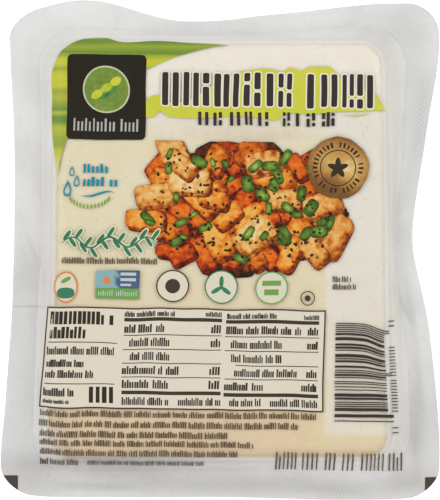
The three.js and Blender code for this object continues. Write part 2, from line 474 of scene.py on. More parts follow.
# film has long soft wrinkles and short ones, and an ink lies in clouds and specks
filmWrinkle = noiseGroup("filmWrinkle", [("Soft", 1.0, 90.0, 2.0), ("Fine", 0.25, 420.0, 3.0)], "Height")
printGrain = noiseGroup("printGrain", [("Cloud", 0.7, 140.0, 3.0), ("Speckle", 0.3, 2600.0, 1.0)],
                        "Mask", clamp=True)
filmRelief = {"Soft": 1.0, "Fine": 0.25}
noiseSpan = (0.3, 0.7)  # most of a noise's values lie between these


def startMaterial(name):
    material = bpy.data.materials.new(name)
    material.use_nodes = True
    tree = material.node_tree
    place = tree.nodes.new("ShaderNodeTexCoord").outputs["Object"]
    return material, tree, tree.nodes["Principled BSDF"], place


def groupNode(tree, group, place, **amounts):
    node = tree.nodes.new("ShaderNodeGroup")
    node.node_tree = group
    link(tree, place, node.inputs["Vector"])
    for key, value in amounts.items():
        node.inputs[key].default_value = value
    return node.outputs[0]


def addBump(tree, shader, height, strength, distance=0.3):
    bump = tree.nodes.new("ShaderNodeBump")
    bump.inputs["Strength"].default_value = strength
    bump.inputs["Distance"].default_value = distance * millimetre
    link(tree, height, bump.inputs["Height"])
    link(tree, bump.outputs["Normal"], shader.inputs["Normal"])


def curdMaterial(look):
    # cream curd: whiter at the top and right, yellow to the left, tan below, with painted light on the upper
    # shoulder and painted shade darkening the lower shoulder
    material, tree, shader, place = startMaterial("creamCurd")
    split = tree.nodes.new("ShaderNodeSeparateXYZ")
    link(tree, place, split.inputs[0])
    across, along = split.outputs["X"], split.outputs["Y"]
    cloud = noiseNode(tree, place, *look["cloud"])
    colour = mixColour(tree, mapRange(tree, along, *look["sideAlong"]), look["top"], look["side"])
    left = mathNode(tree, "MULTIPLY", mapRange(tree, across, *look["yellowAcross"]),
                    mapRange(tree, along, *look["yellowAlong"]))
    left = mathNode(tree, "MULTIPLY", left, mapRange(tree, cloud, *look["yellowCloud"]))
    colour = mixColour(tree, left, colour, look["yellow"])
    codeSide = mathNode(tree, "MULTIPLY", mapRange(tree, across, *look["codeAcross"]),
                        mapRange(tree, along, *look["codeAlong"]))
    low = mathNode(tree, "MULTIPLY", mapRange(tree, along, *look["tanAlong"]),
                   mathNode(tree, "SUBTRACT", 1.0, mathNode(tree, "MULTIPLY", codeSide, look["codeWhite"])))
    tan = mixColour(tree, mapRange(tree, across, *look["tanAcross"]), look["peach"], look["tan"])
    colour = mixColour(tree, low, colour, tan)
    # painted light: the upper shoulder is made paler, fading out towards the lower end
    rim = mathNode(tree, "MULTIPLY", attributeNode(tree, "rim"), mapRange(tree, along, *look["rimLightAlong"]))
    colour = mixColour(tree, rim, colour, look["rim"], "MULTIPLY")
    # painted shade: the lower shoulder darkens towards the shoulder tone
    colour = mixColour(tree, mapRange(tree, along, *look["shoulderShadeAlong"]), colour, look["shoulder"])
    mottle = mapRange(tree, noiseNode(tree, place, *look["mottleNoise"]), *noiseSpan, 0.0, look["mottle"])
    colour = mixColour(tree, mottle, colour, look["shade"], "MULTIPLY")
    # pores: small pits in the bump, darkened with painted shade
    cells = tree.nodes.new("ShaderNodeTexVoronoi")
    cells.inputs["Scale"].default_value = look["poreScale"]
    link(tree, place, cells.inputs["Vector"])
    gate = mapRange(tree, noiseNode(tree, place, look["poreGroups"]), *look["poreGate"])
    pores = mathNode(tree, "MULTIPLY", mapRange(tree, cells.outputs["Distance"], *look["poreReach"]), gate)
    colour = mixColour(tree, mathNode(tree, "MULTIPLY", pores, look["poreShade"]), colour, look["pore"])
    link(tree, colour, shader.inputs["Base Color"])
    link(tree, mapRange(tree, cloud, *noiseSpan, *look["roughness"]), shader.inputs["Roughness"])
    shader.inputs["Subsurface Weight"].default_value = look["subsurface"]
    shader.inputs["Subsurface Radius"].default_value = look["scatter"]
    shader.inputs["Subsurface Scale"].default_value = look["scatterScale"]
    grain = mathNode(tree, "SUBTRACT", noiseNode(tree, place, *look["grainNoise"]), pores)
    addBump(tree, shader, grain, *look["bump"])
    return material


filmShade = {"cloud": (45.0, 3.0, 0.6), "facing": 0.35, "edgeGain": 8.0, "glossNoise": (160.0, 3.0)}


def filmMaterial(name, look):
    # clear film: see-through where it lies tight, milky by its haze and where it is seen edge-on
    material, tree, shader, place = startMaterial(name)
    haze = attributeNode(tree, "haze")
    cloud = noiseNode(tree, place, *filmShade["cloud"])
    facing = tree.nodes.new("ShaderNodeLayerWeight")
    facing.inputs["Blend"].default_value = filmShade["facing"]
    edge = mathNode(tree, "MULTIPLY", facing.outputs["Facing"], look["edge"])
    misted = mathNode(tree, "MULTIPLY", haze, filmShade["edgeGain"], clamp=True)
    edge = mathNode(tree, "MULTIPLY", edge, misted)
    patchy = mapRange(tree, cloud, *noiseSpan, 1 - look["patchy"], 1 + look["patchy"])
    milky = mathNode(tree, "MULTIPLY", haze, patchy)
    link(tree, mathNode(tree, "ADD", milky, edge, clamp=True), shader.inputs["Alpha"])
    colour = mixColour(tree, mapRange(tree, cloud, *noiseSpan), look["light"], look["dark"])
    # besides their own tones, films take painted light from the curd, a painted highlight at the bend, and
    # painted shade and stain
    for key in ("curdLight", "bend", "shadeAndStain"):
        if key in look:
            colour = mixColour(tree, attributeNode(tree, key), colour, look[key])
    link(tree, colour, shader.inputs["Base Color"])
    gloss = noiseNode(tree, place, *filmShade["glossNoise"])
    link(tree, mapRange(tree, gloss, *noiseSpan, *look["gloss"]), shader.inputs["Roughness"])
    addBump(tree, shader, groupNode(tree, filmWrinkle, place, **filmRelief), look["bump"])
    return material


inkLook = {
    "gloss": (0.27, 0.38), "grainSpan": (0.2, 0.8), "bump": 0.22, "specular": 0.2, "paler": (1.12, 0.006),
    "stirNoise": (620.0, 3.0, 0.65), "stirSpan": (0.25, 0.75), "thin": (0.75, 1.1),
    "stretch": (0.12, 1.0, 0.0), "waverNoise": (260.0, 3.0), "waver": 0.0009, "evenScale": 140.0,
}


def finishInk(tree, shader, place, grain):
    # every ink has the gloss and wrinkles of the film over it
    link(tree, mapRange(tree, grain, *inkLook["grainSpan"], *inkLook["gloss"]), shader.inputs["Roughness"])
    addBump(tree, shader, groupNode(tree, filmWrinkle, place, **filmRelief), inkLook["bump"])
    shader.inputs["Specular IOR Level"].default_value = inkLook["specular"]


def inkMaterial(name, colour, second=None, cloud=0.7, speckle=0.3):
    # ink under film: two close tones mixed by grain, the second a little paler unless one is given
    gain, rise = inkLook["paler"]
    colour = screenColour(*colour)
    second = screenColour(*second) if second else tuple(min(1.0, v * gain + rise) for v in colour)
    material, tree, shader, place = startMaterial(name)
    grain = groupNode(tree, printGrain, place, Cloud=cloud, Speckle=speckle)
    link(tree, mixColour(tree, grain, colour, second), shader.inputs["Base Color"])
    finishInk(tree, shader, place, grain)
    return material


def toneMaterial(name, tones, grain, fade=False):
    # ink whose colour runs through a list of tones by the tone stored on each shape, stirred by cloudy noise;
    # a fading ink is also as thin as its tone is low
    material, tree, shader, place = startMaterial(name)
    tone = attributeNode(tree, "tone")
    cloud = noiseNode(tree, place, *inkLook["stirNoise"])
    stir = mapRange(tree, cloud, *inkLook["stirSpan"], -grain, grain, smooth=False)
    stirred = mathNode(tree, "ADD", tone, stir, clamp=True)
    link(tree, rampNode(tree, stirred, tones), shader.inputs["Base Color"])
    if fade:
        thin = mapRange(tree, cloud, *inkLook["stirSpan"], *inkLook["thin"])
        link(tree, mathNode(tree, "MULTIPLY", tone, thin, clamp=True), shader.inputs["Alpha"])
    finishInk(tree, shader, place, cloud)
    return material


def stripeMaterial(name, stripes, inks):
    # level stripes: a ramp through (height, ink) pairs over the height on the label, wavering a little
    material, tree, shader, place = startMaterial(name)
    split = tree.nodes.new("ShaderNodeSeparateXYZ")
    link(tree, place, split.inputs[0])
    askew = mathNode(tree, "MULTIPLY", split.outputs["X"], -math.sin(labelForm["turn"]))
    stretch = tree.nodes.new("ShaderNodeMapping")
    stretch.inputs["Scale"].default_value = inkLook["stretch"]
    link(tree, place, stretch.inputs["Vector"])
    noise = noiseNode(tree, stretch.outputs["Vector"], *inkLook["waverNoise"])
    waver = mapRange(tree, noise, *inkLook["grainSpan"], -inkLook["waver"], inkLook["waver"], False)
    height = mathNode(tree, "ADD", mathNode(tree, "ADD", split.outputs["Y"], askew), waver)
    low, high = stripes[0][0], stripes[-1][0]
    share = mapRange(tree, height, low * millimetre, high * millimetre, smooth=False)
    tones = [((b - low) / (high - low), inks[ink]) for b, ink in stripes]
    link(tree, rampNode(tree, share, tones), shader.inputs["Base Color"])
    finishInk(tree, shader, place, noiseNode(tree, place, inkLook["evenScale"]))
    return material


print("scene: forms and materials ready")


def nestedSquares(count):
    # a square grid seen as nested squares: m is the nested square's size from 0 to 1, turn the way round it
    line = np.linspace(-1, 1, count)
    u, v = np.meshgrid(line, line, indexing="ij")
    m = np.maximum(np.abs(u), np.abs(v))
    side = np.where((u >= np.abs(v)), 0, np.where(v >= np.abs(u), 1, np.where(-u >= np.abs(v), 2, 3)))
    place = np.choose(side, (v, -u, -v, u)) / np.maximum(m, 1e-9)
    return m, np.clip(2 * side + place + 1, 0, 8 - 1e-9)


blockLook = {
    "top": screenColour(235, 228, 215), "side": screenColour(225, 219, 207),
    "yellow": screenColour(224, 213, 178), "tan": screenColour(220, 203, 162),
    # the shoulder tone on the next line is painted shade for the lower shoulder
    "peach": screenColour(219, 196, 161), "shoulder": screenColour(200, 182, 148),
    # rim, on the next line, brightens the upper shoulder as painted light
    "shade": (0.9, 0.86, 0.78), "rim": (1.13, 1.14, 1.15), "pore": (0.52, 0.42, 0.28),
    "mottle": 0.25, "poreShade": 0.18, "codeWhite": 0.75, "roughness": (0.42, 0.58),
    "subsurface": 0.15, "scatter": (1.0, 0.7, 0.4), "scatterScale": 0.002, "bump": (0.5, 0.25),
    "cloud": (60.0, 4.0, 0.6), "mottleNoise": (220.0, 4.0, 0.6), "grainNoise": (500.0, 4.0, 0.6),
    "poreScale": 700.0, "poreGroups": 260.0, "poreGate": (0.5, 0.62), "poreReach": (0.3, 0.12),
    "yellowCloud": (0.25, 0.6, 0.7, 1.0),
    # metres across or along the block, from where a tone sets in to where it is full, then its shares
    "sideAlong": (0.052, 0.03), "yellowAcross": (0.03, 0.0282), "yellowAlong": (0.041, 0.026),
    "codeAcross": (0.0276, 0.029), "codeAlong": (-0.052, -0.0496), "tanAcross": (0.02, 0.029),
    "tanAlong": (0.006, -0.047, 0.0, 0.95), "rimLightAlong": (-0.053, -0.045),
    "shoulderShadeAlong": (-0.0525, -0.058, 0.0, 0.85),
    "inset": 0.35, "waist": 20.0, "uneven": 0.12, "unevenSize": 14.0,
    "pitDepth": 0.12, "pitSize": 2.6, "pitFrom": (0.5, 1.3),
    "rimSine": (0.35, 0.85), "rimDown": 0.2, "rimPlaces": (-46, -35, 35, 46),
    "rimShares": (0.1, 0.45, 0.45, 1.0), "grid": 190, "flatShare": 0.72, "bendShare": 0.86,
}


def halfBlock(count, top):
    # nested squares carried out to the block: flat face, rounded edge of radius r, then the wall to its waist
    m, turn = nestedSquares(count)
    flat, bend = blockLook["flatShare"], blockLook["bendShare"]
    radius = packForm["shoulder"] if top else packForm["heel"]
    inset = blockLook["inset"]
    faceX, faceY = blockPlan(turn, radius + inset)
    angle = np.clip((m - flat) / (bend - flat), 0, 1) * math.pi / 2
    wallX, wallY = blockPlan(turn, inset)
    inner = np.minimum(m / flat, 1)
    x = faceX * inner + (wallX - faceX) * np.sin(angle)
    y = faceY * inner + (wallY - faceY) * np.sin(angle)
    fall = radius * (1 - np.cos(angle))
    start = faceHeight(x, y) - inset - fall if top else filmForm["overBlock"] + fall
    down = np.clip((m - bend) / (1 - bend), 0, 1)
    z = start + (blockLook["waist"] - start) * down
    length = np.hypot(wallX - faceX, wallY - faceY)
    relief = -blockLook["uneven"] * np.abs(softNoise(x + z, y - z, blockLook["unevenSize"], 21))
    pits = softNoise(x + 0.7 * z, y + 0.5 * z, blockLook["pitSize"], 22)
    relief -= blockLook["pitDepth"] * smoothStep(*blockLook["pitFrom"], pits)
    sideways, upwards = np.sin(angle) * relief / length, np.cos(angle) * (relief if top else 0)
    # painted light: paler on the upper shoulder, most at the right
    rim = smoothStep(*blockLook["rimSine"], np.sin(angle)) * (down < blockLook["rimDown"]) * top
    rim = rim * np.interp(x, blockLook["rimPlaces"], blockLook["rimShares"])
    points = np.stack((x + sideways * (wallX - faceX), y + sideways * (wallY - faceY), z + upwards), -1)
    return points.reshape(-1, 3), rim.ravel()


def makeBlock():
    # an upper and a lower half, welded at the waist
    count = blockLook["grid"]
    points, rim = (np.concatenate(pair) for pair in zip(halfBlock(count, True), halfBlock(count, False)))
    quads = np.concatenate((gridQuads(count, count), gridQuads(count, count, flip=True) + count * count))
    piece = dressPack(makePiece("tofu_block", points, quads, curdMaterial(blockLook), {"rim": rim}))
    weld(piece, 0.02, closed=True)
    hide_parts(packNode)


makeBlock()
print("scene: block")

lidLook = {
    # the third tone here is painted shade and stain
    "light": (0.84, 0.835, 0.815), "dark": (0.77, 0.76, 0.745), "shadeAndStain": (0.5, 0.48, 0.47),
    # of these, the first tone is painted light from the curd below and the second a painted highlight where
    # the haze sets in
    "curdLight": (0.8, 0.77, 0.69), "bend": (1.0, 0.98, 0.94),
    "edge": 0.1, "patchy": 0.1, "gloss": (0.3, 0.44), "bump": 0.2,
    "grid": 214, "flatShare": 0.8, "lap": 0.01, "stretch": 1.043, "lastRow": 0.994,
    "clear": 0.02, "tentHaze": 0.58, "sealHaze": 0.1, "sealShare": (0.4, 1.0), "brineHaze": 0.25,
    # millimetres out from the block's edge, or x or y, from where an effect sets in to where it is full
    "milkyAway": (-2.9, -1.1), "warmAway": (3.5, 0.8), "warmX": (-20, 20), "warmFoot": (-60, -54),
    "warmTop": (52, 57), "topEase": 0.7, "warmInner": (1.2, -0.2), "innerEase": 0.5,
    "brineLeft": ((-39, -48), (-46, -52)), "brineBelow": ((-4, -16), (-55, -58)), "belowShare": 0.8,
    # at the lower left the film lies tight further out: x, the middle and reach in y, and how far
    "tightX": (-38, -43), "tightY": -46, "tightReach": 8, "tightShift": 1.6,
}
pouchLook = {
    "light": (0.74, 0.735, 0.72), "dark": (0.66, 0.655, 0.64),
    "edge": 0.2, "patchy": 0.3, "gloss": (0.14, 0.28), "bump": 0.45,
    "grid": 214, "baseShare": 0.3, "heelShare": 0.38, "wallShare": 0.72, "kneeDrop": 1.2,
    "pleat": 0.3, "pleatCount": 150, "pleatWander": 3, "pleatEven": 0.15, "cornerPower": 6,
    "drape": 0.35, "webGather": 0.5, "webPleat": 0.3, "webEven": 0.1,
    "haze": 0.1, "webHaze": 0.18, "foldHaze": 0.12, "baseHaze": 0.4, "heelFade": 0.15, "rimFade": (1.0, 0.9),
}
flangeLook = {
    # the third tone here is painted shade and stain
    "light": (0.77, 0.767, 0.755), "dark": (0.71, 0.707, 0.695), "shadeAndStain": (0.4, 0.385, 0.375),
    "edge": 0.1, "patchy": 0.06, "gloss": (0.24, 0.4), "bump": 0.22,
    "haze": 0.68, "ribHaze": 0.12, "creaseHaze": 0.1,
    "stations": 2300, "across": 20, "lap": 0.01, "firstRow": 0.008,
    "thickness": 0.3, "edgeThin": 0.25, "edgeShare": (0.9, 1.0),
    "uneven": 0.08, "unevenSize": 9.0, "unevenShare": (0.0, 0.4),
    "ribCount": 420, "ribSlant": 8.0, "ribHeight": 0.11, "ribWidth": 0.2, "ribShade": 0.32,
    "ribBroken": (-0.5, 0.6), "brokenSize": 6.0,
}

# the crimp's ribs show in places only: turn, middle of their band across the flange, strength
ribPlaces = np.array([
    (0.0, 0.5, 0.8), (0.6, 0.42, 1.0), (1.1, 0.42, 0.2), (1.5, 0.6, 0.8), (2.0, 0.6, 0.2), (3.0, 0.5, 0.1),
    (4.0, 0.3, 0.1), (4.7, 0.2, 0.2), (5.4, 0.16, 0.9), (5.9, 0.2, 0.4), (6.3, 0.55, 0.8), (7.0, 0.6, 1.0),
    (7.7, 0.6, 1.0),
])


def makeLid():
    # nested squares: scaled block outline up to flatShare, then straight out to just past the seal line, with
    # a narrow last row for a thin rim
    look = lidLook
    count, flat = look["grid"], look["flatShare"]
    m, turn = nestedSquares(count)
    faceX, faceY = blockPlan(turn, packForm["shoulder"])
    rim = flangePoint(turn, np.full_like(turn, look["lap"]))
    inner, outer = np.minimum(m / flat, 1), np.clip((m - flat) / (1 - flat), 0, 1)
    outer = np.where(m > 0.999, 1, np.minimum(outer * look["stretch"], look["lastRow"]))
    x = faceX * inner + (rim[..., 0] - faceX) * outer
    y = faceY * inner + (rim[..., 1] - faceY) * outer
    z, share, away = lidForm(x, y)
    tight = smoothStep(*look["tightX"], x) * np.exp(-(((y - look["tightY"]) / look["tightReach"]) ** 2))
    milky = smoothStep(*look["milkyAway"], away - look["tightShift"] * tight)
    brineLeft, brineBelow = (smoothStep(*spanX, x) * smoothStep(*spanY, y)
                             for spanX, spanY in (look["brineLeft"], look["brineBelow"]))
    brine = np.maximum(brineLeft, look["belowShare"] * brineBelow)
    haze = np.maximum(look["clear"] + look["tentHaze"] * milky, look["brineHaze"] * brine)
    haze += look["sealHaze"] * smoothStep(*look["sealShare"], share)
    # painted light: within a few millimetres of the block's edge the film is tinted as if lit by the curd,
    # half as much at the left, not at all at the foot, less at the top and over the block itself
    curdLight = smoothStep(*look["warmAway"], away) * (0.5 + 0.5 * smoothStep(*look["warmX"], x))
    curdLight = curdLight * smoothStep(*look["warmFoot"], y) * (1 - look["topEase"] * smoothStep(*look["warmTop"], y))
    curdLight = curdLight * (1 - look["innerEase"] * smoothStep(*look["warmInner"], away))
    # painted highlight: the film is lightened where its haze sets in and over the brine
    bend = np.minimum(4 * milky * (1 - milky) + brine * (1 - milky), 1)
    piece = makePiece("lid_film", np.stack((x, y, z), -1).reshape(-1, 3), gridQuads(count, count),
                      filmMaterial("lidFilm", look),
                      {"haze": haze, "shadeAndStain": shadeAndStainAt(x, y), "curdLight": curdLight, "bend": bend})
    thicken(dressPack(piece), filmForm["thickness"])


def makePouch():
    # nested squares: flat base, quarter-round heel, wall, then a web curving out to the seal line.
    # web = (1 - s)^2 wall + 2 s (1 - s) knee + s^2 seal, the knee straight above the wall's top
    look = pouchLook
    count, heel = look["grid"], packForm["heel"]
    base, heelEnd, wallEnd = look["baseShare"], look["heelShare"], look["wallShare"]
    m, turn = nestedSquares(count)
    baseX, baseY = blockPlan(turn, heel)
    wallX, wallY = blockPlan(turn)
    seal = sealLine(turn)
    gap = np.hypot(seal[..., 0] - wallX, seal[..., 1] - wallY)
    top = seal[..., 2] - packForm["webDrop"] - packForm["webSlope"] * gap
    inner = np.minimum(m / base, 1)
    angle = np.clip((m - base) / (heelEnd - base), 0, 1) * math.pi / 2
    up = np.clip((m - heelEnd) / (wallEnd - heelEnd), 0, 1)
    web = np.clip((m - wallEnd) / (1 - wallEnd), 0, 1)
    x = baseX * inner + (wallX - baseX) * np.sin(angle)
    y = baseY * inner + (wallY - baseY) * np.sin(angle)
    z = heel * (1 - np.cos(angle)) + (top - heel) * up
    late, middle = web ** 2, 2 * web * (1 - web)
    x += late * (seal[..., 0] - wallX)
    y += late * (seal[..., 1] - wallY)
    sealBelow = seal[..., 2] - filmForm["thickness"]
    z += middle * (seal[..., 2] - look["kneeDrop"] - top) + late * (sealBelow - top)
    # folds stand off the wall: gathers and pleats near the corners, and soft drapes between them
    wave = gatherWave(turn)
    nearCorner = np.abs(sideAndPlace(turn)[1]) ** look["cornerPower"]
    wander = look["pleatWander"] * softNoise(turn * 9, z, 8, 31)
    pleats = np.sin(turn / 8 * 2 * math.pi * look["pleatCount"] + wander)
    drape = look["drape"] * np.maximum(softNoise(turn * 12, z * 0.8, 9.0, 32), 0)
    folds = drape + look["pleat"] * (look["pleatEven"] + nearCorner) * np.maximum(pleats, 0)
    webFolds = look["webGather"] * wave + look["webPleat"] * pleats * (look["webEven"] + nearCorner)
    stand = gathers["onWall"] * np.maximum(wave, 0) * np.cos(math.pi / 2 * (1 - up)) * (1 - web)
    stand = stand + up * (1 - web) * folds
    stand = stand + np.sin(math.pi * web) * webFolds
    length = np.hypot(wallX, wallY)
    x += stand * wallX / length
    y += stand * wallY / length
    haze = look["haze"] + look["webHaze"] * web + look["foldHaze"] * np.clip(stand, 0, 1)
    onWall = smoothStep(heelEnd, heelEnd + look["heelFade"], m)
    haze *= (look["baseHaze"] + (1 - look["baseHaze"]) * onWall) * smoothStep(*look["rimFade"], web)
    piece = makePiece("pouch_film", np.stack((x, y, z), -1).reshape(-1, 3),
                      gridQuads(count, count, flip=True), filmMaterial("pouchFilm", look), {"haze": haze})
    thicken(dressPack(piece), filmForm["thickness"])


def ribBand(turn, share):
    # strength * exp(-((share - middle) / width)^2), broken up by soft noise along the way
    middle = np.interp(turn, ribPlaces[:, 0], ribPlaces[:, 1], period=8)
    strength = np.interp(turn, ribPlaces[:, 0], ribPlaces[:, 2], period=8)
    noise = softNoise(turn * 10, share * 3, flangeLook["brokenSize"], 42)
    broken = smoothStep(*flangeLook["ribBroken"], noise)
    return strength * broken * np.exp(-(((share - middle) / flangeLook["ribWidth"]) ** 2))


def ribWave(turn, share):
    # slanting ribs: band * sin(2 pi (count turn / 8 + slant share))
    phase = flangeLook["ribCount"] * turn / 8 + flangeLook["ribSlant"] * share
    return ribBand(turn, share) * np.sin(2 * math.pi * phase)


def flangeSheet(turn, share):
    # middle of the flange, with its ribs, creases and soft noise
    point = flangePoint(turn, share)
    x, y = point[..., 0], point[..., 1]
    point[..., 2] += flangeLook["ribHeight"] * ribWave(turn, share) + creaseHeight(x, y)
    uneven = flangeLook["uneven"] * softNoise(x, y, flangeLook["unevenSize"], 41)
    point[..., 2] += uneven * smoothStep(*flangeLook["unevenShare"], share)
    return point


def makeFlange():
    # a closed loop across the flange, over its top, round the cut edge and back below, carried round the
    # pack, with a narrow first row for a thin inner edge
    stations, across, lap = flangeLook["stations"], flangeLook["across"], flangeLook["lap"]
    shares = np.append(-lap, np.linspace(flangeLook["firstRow"] - lap, 1, across - 1))
    turn, share = np.meshgrid(np.linspace(0, 8, stations, endpoint=False), shares, indexing="ij")
    sheet = flangeSheet(turn, share)
    normal = np.cross(np.gradient(sheet, axis=1), np.roll(sheet, -1, 0) - np.roll(sheet, 1, 0))
    normal /= np.linalg.norm(normal, axis=-1, keepdims=True)
    thinned = 1 - flangeLook["edgeThin"] * smoothStep(*flangeLook["edgeShare"], share)
    half = flangeLook["thickness"] / 2 * thinned[..., None]
    loop = np.concatenate((sheet + normal * half, (sheet - normal * half)[:, ::-1]), 1)
    x, y = sheet[..., 0], sheet[..., 1]
    haze = flangeLook["haze"] + flangeLook["ribHaze"] * ribBand(turn, share)
    haze += flangeLook["creaseHaze"] * np.abs(creaseHeight(x, y))
    # painted shade and stain from the spots, and painted shade in lines along the crimp's ribs
    shadeAndStain = shadeAndStainAt(x, y) + flangeLook["ribShade"] * ribWave(turn, share)
    haze, shadeAndStain = (np.concatenate((v, v[:, ::-1]), 1) for v in (haze, shadeAndStain))
    quads = gridQuads(stations, loop.shape[1], wrapRows=True, wrapColumns=True, flip=True)
    dressPack(makePiece("seal_flange", loop.reshape(-1, 3), quads, filmMaterial("flangeFilm", flangeLook),
                        {"haze": haze, "shadeAndStain": shadeAndStain}))


makeLid()
makePouch()
makeFlange()
print("scene: films and flange")

labelForm = {
    # the print sits slightly askew on the block, and widens down its left side
    "turn": math.radians(-0.75),
    "spread": 0.038, "spreadFrom": -14.0, "spreadSide": 45, "spreadWidth": 92,
    "pinch": 2.0, "pinchFrom": 39.5, "pinchSpan": 7.0, "pinchAt": -22.0, "pinchReach": 11.0,
    "sway": 0.12, "swaySize": 16.0, "lift": 0.02, "layer": 0.015,
    # over the shoulder the print stands further off the film, and its lower levels further apart
    "bendLift": 0.16, "bendAway": (-5.5, -3.0), "steepLift": 2, "steepAway": (-2.6, -0.8),
    "tentEase": 0.7, "tentAway": (1.0, 3.0), "bendLayers": 5, "bendLevels": 2,
}


def onLid(label, level):
    # label coordinates, swayed, spread at the lower left and drawn down at the right, then laid on the lid
    a, b = label[..., 0], label[..., 1]
    leftward = np.clip((labelForm["spreadSide"] - a) / labelForm["spreadWidth"], 0, 1)
    a = a - labelForm["spread"] * np.maximum(labelForm["spreadFrom"] - b, 0) * leftward
    drawn = smoothStep(labelForm["pinchFrom"], labelForm["pinchFrom"] + labelForm["pinchSpan"], a)
    apart = (b - labelForm["pinchAt"]) / labelForm["pinchReach"]
    b = b - labelForm["pinch"] * drawn * np.exp(-(apart ** 2))
    swayA, swayB = softNoise(a, b, labelForm["swaySize"], 51), softNoise(a, b, labelForm["swaySize"], 52)
    a, b = a + labelForm["sway"] * swayA, b + labelForm["sway"] * swayB
    cosine, sine = math.cos(labelForm["turn"]), math.sin(labelForm["turn"])
    x = a * cosine - b * sine + packCentre[0]
    y = a * sine + b * cosine + packCentre[1]
    height, _, away = lidForm(x, y)
    bend = smoothStep(*labelForm["bendAway"], away)
    steep = bend + labelForm["steepLift"] * smoothStep(*labelForm["steepAway"], away)
    ease = 1 - labelForm["tentEase"] * smoothStep(*labelForm["tentAway"], away)
    height = height + labelForm["lift"] + labelForm["bendLift"] * steep * ease
    layers = level + labelForm["bendLayers"] * np.minimum(level, labelForm["bendLevels"]) * bend
    return np.stack((x, y, height + labelForm["layer"] * layers), -1)


def perPatch(value, shape):
    # a value for all patches, for each patch, or for each point, spread to the patches' shape
    value = np.asarray(value, float)
    return np.broadcast_to(value[:, None, None] if value.ndim == 1 else value, shape)


def printPiece(name, batches, material):
    # batches of patches: an array (patches, rows, columns, 2) in label millimetres, a level and any tone
    points, quads, tones, count = [], [], [], 0
    for patches, level, *tone in batches:
        number, rows, columns = patches.shape[:3]
        placed = onLid(patches, perPatch(level, patches.shape[:3]))
        block = gridQuads(rows, columns)[None] + (count + np.arange(number) * rows * columns)[:, None, None]
        row, column = rows // 2, columns // 2
        wayRow = placed[:, row, column] - placed[:, row - 1, column]
        wayColumn = placed[:, row, column] - placed[:, row, column - 1]
        facesDown = wayRow[:, 0] * wayColumn[:, 1] - wayRow[:, 1] * wayColumn[:, 0] < 0
        block[facesDown] = block[facesDown][..., ::-1]
        points.append(placed.reshape(-1, 3))
        quads.append(block.reshape(-1, 4))
        tones.append(perPatch(tone[0] if tone else 0.0, patches.shape[:3]).reshape(-1))
        count += number * rows * columns
    piece = makePiece(name, np.concatenate(points), np.concatenate(quads), material,
                      {"tone": np.concatenate(tones)})
    weld(dressPack(piece), 0.002)


def bars(boxes, step=1.2):
    # boxes (a0, b0, a1, b1) as patches split about every step
    boxes = np.atleast_2d(np.asarray(boxes, float))
    s, t = (np.linspace(0, 1, max(1, math.ceil(np.abs(boxes[:, k + 2] - boxes[:, k]).max() / step)) + 1)
            for k in (0, 1))
    a = boxes[:, 0, None, None] + (boxes[:, 2] - boxes[:, 0])[:, None, None] * s[None, None, :]
    b = boxes[:, 1, None, None] + (boxes[:, 3] - boxes[:, 1])[:, None, None] * t[None, :, None]
    return np.stack(np.broadcast_arrays(a, b), -1)


def starPatches(centres, radii, shares):
    # shapes seen from their own centre, radius(angle) times each share in turn, or evenly in so many rings
    centres, radii = np.atleast_2d(centres), np.atleast_2d(radii)
    angle = np.linspace(0, 2 * math.pi, radii.shape[1])
    share = np.linspace(0, 1, shares + 1) if isinstance(shares, int) else np.asarray(shares)
    reach = radii[:, None, :] * share[None, :, None]
    a = centres[:, 0, None, None] + reach * np.cos(angle)
    return np.stack((a, centres[:, 1, None, None] + reach * np.sin(angle)), -1)


def boxRadii(halfA, halfB, power, spokes=49, tilt=0.0):
    # superellipse: r = (|cos / halfA|^power + |sin / halfB|^power)^(-1 / power)
    halfA, halfB, power, tilt = (np.reshape(v, (-1, 1)) for v in (halfA, halfB, power, tilt))
    angle = np.linspace(0, 2 * math.pi, spokes) - tilt
    return (np.abs(np.cos(angle) / halfA) ** power + np.abs(np.sin(angle) / halfB) ** power) ** (-1 / power)


def leafRadii(length, width, tilt, spokes=33):
    # oval r = length / 2 * width / hypot(width cos, length sin), narrowed away from both ends to points
    angle = np.linspace(0, 2 * math.pi, spokes) - tilt
    oval = (length / 2) * width / np.hypot(width * np.cos(angle), length * np.sin(angle))
    return (oval * (0.82 + 0.18 * np.abs(np.cos(angle)) ** 6))[None]


def roundRadii(radius, spokes=57):
    # the same radius all round
    return np.full((1, spokes), float(radius))


def smoothThrough(knots, values, places):
    # cubic Hermite curve with slopes averaged from the neighbours, through values at the knots
    slopes = np.gradient(values, knots)
    k = np.clip(np.searchsorted(knots, places) - 1, 0, len(knots) - 2)
    span = knots[k + 1] - knots[k]
    s = (places - knots[k]) / span
    return ((2 * s ** 3 - 3 * s ** 2 + 1) * values[k] + (s ** 3 - 2 * s ** 2 + s) * span * slopes[k]
            + (3 * s ** 2 - 2 * s ** 3) * values[k + 1] + (s ** 3 - s ** 2) * span * slopes[k + 1])


def smoothPath(path, samples):
    # points evenly along a smooth curve through the given ones
    path = np.asarray(path, float)
    run = np.concatenate(([0], np.cumsum(np.hypot(*np.diff(path, axis=0).T))))
    place = np.linspace(0, run[-1], samples)
    return np.stack([smoothThrough(run, path[:, k], place) for k in (0, 1)], -1)


def ribbon(path, widths, samples=60):
    # a stroke along a smooth path, its width interpolated between the given widths
    middle = smoothPath(path, samples)
    way = np.gradient(middle, axis=0)
    way /= np.linalg.norm(way, axis=1, keepdims=True)
    side = np.stack((-way[:, 1], way[:, 0]), -1)
    half = np.interp(np.linspace(0, 1, samples), np.linspace(0, 1, len(widths)), widths)[:, None] / 2
    return np.stack((middle - side * half, middle, middle + side * half), 0)[None]


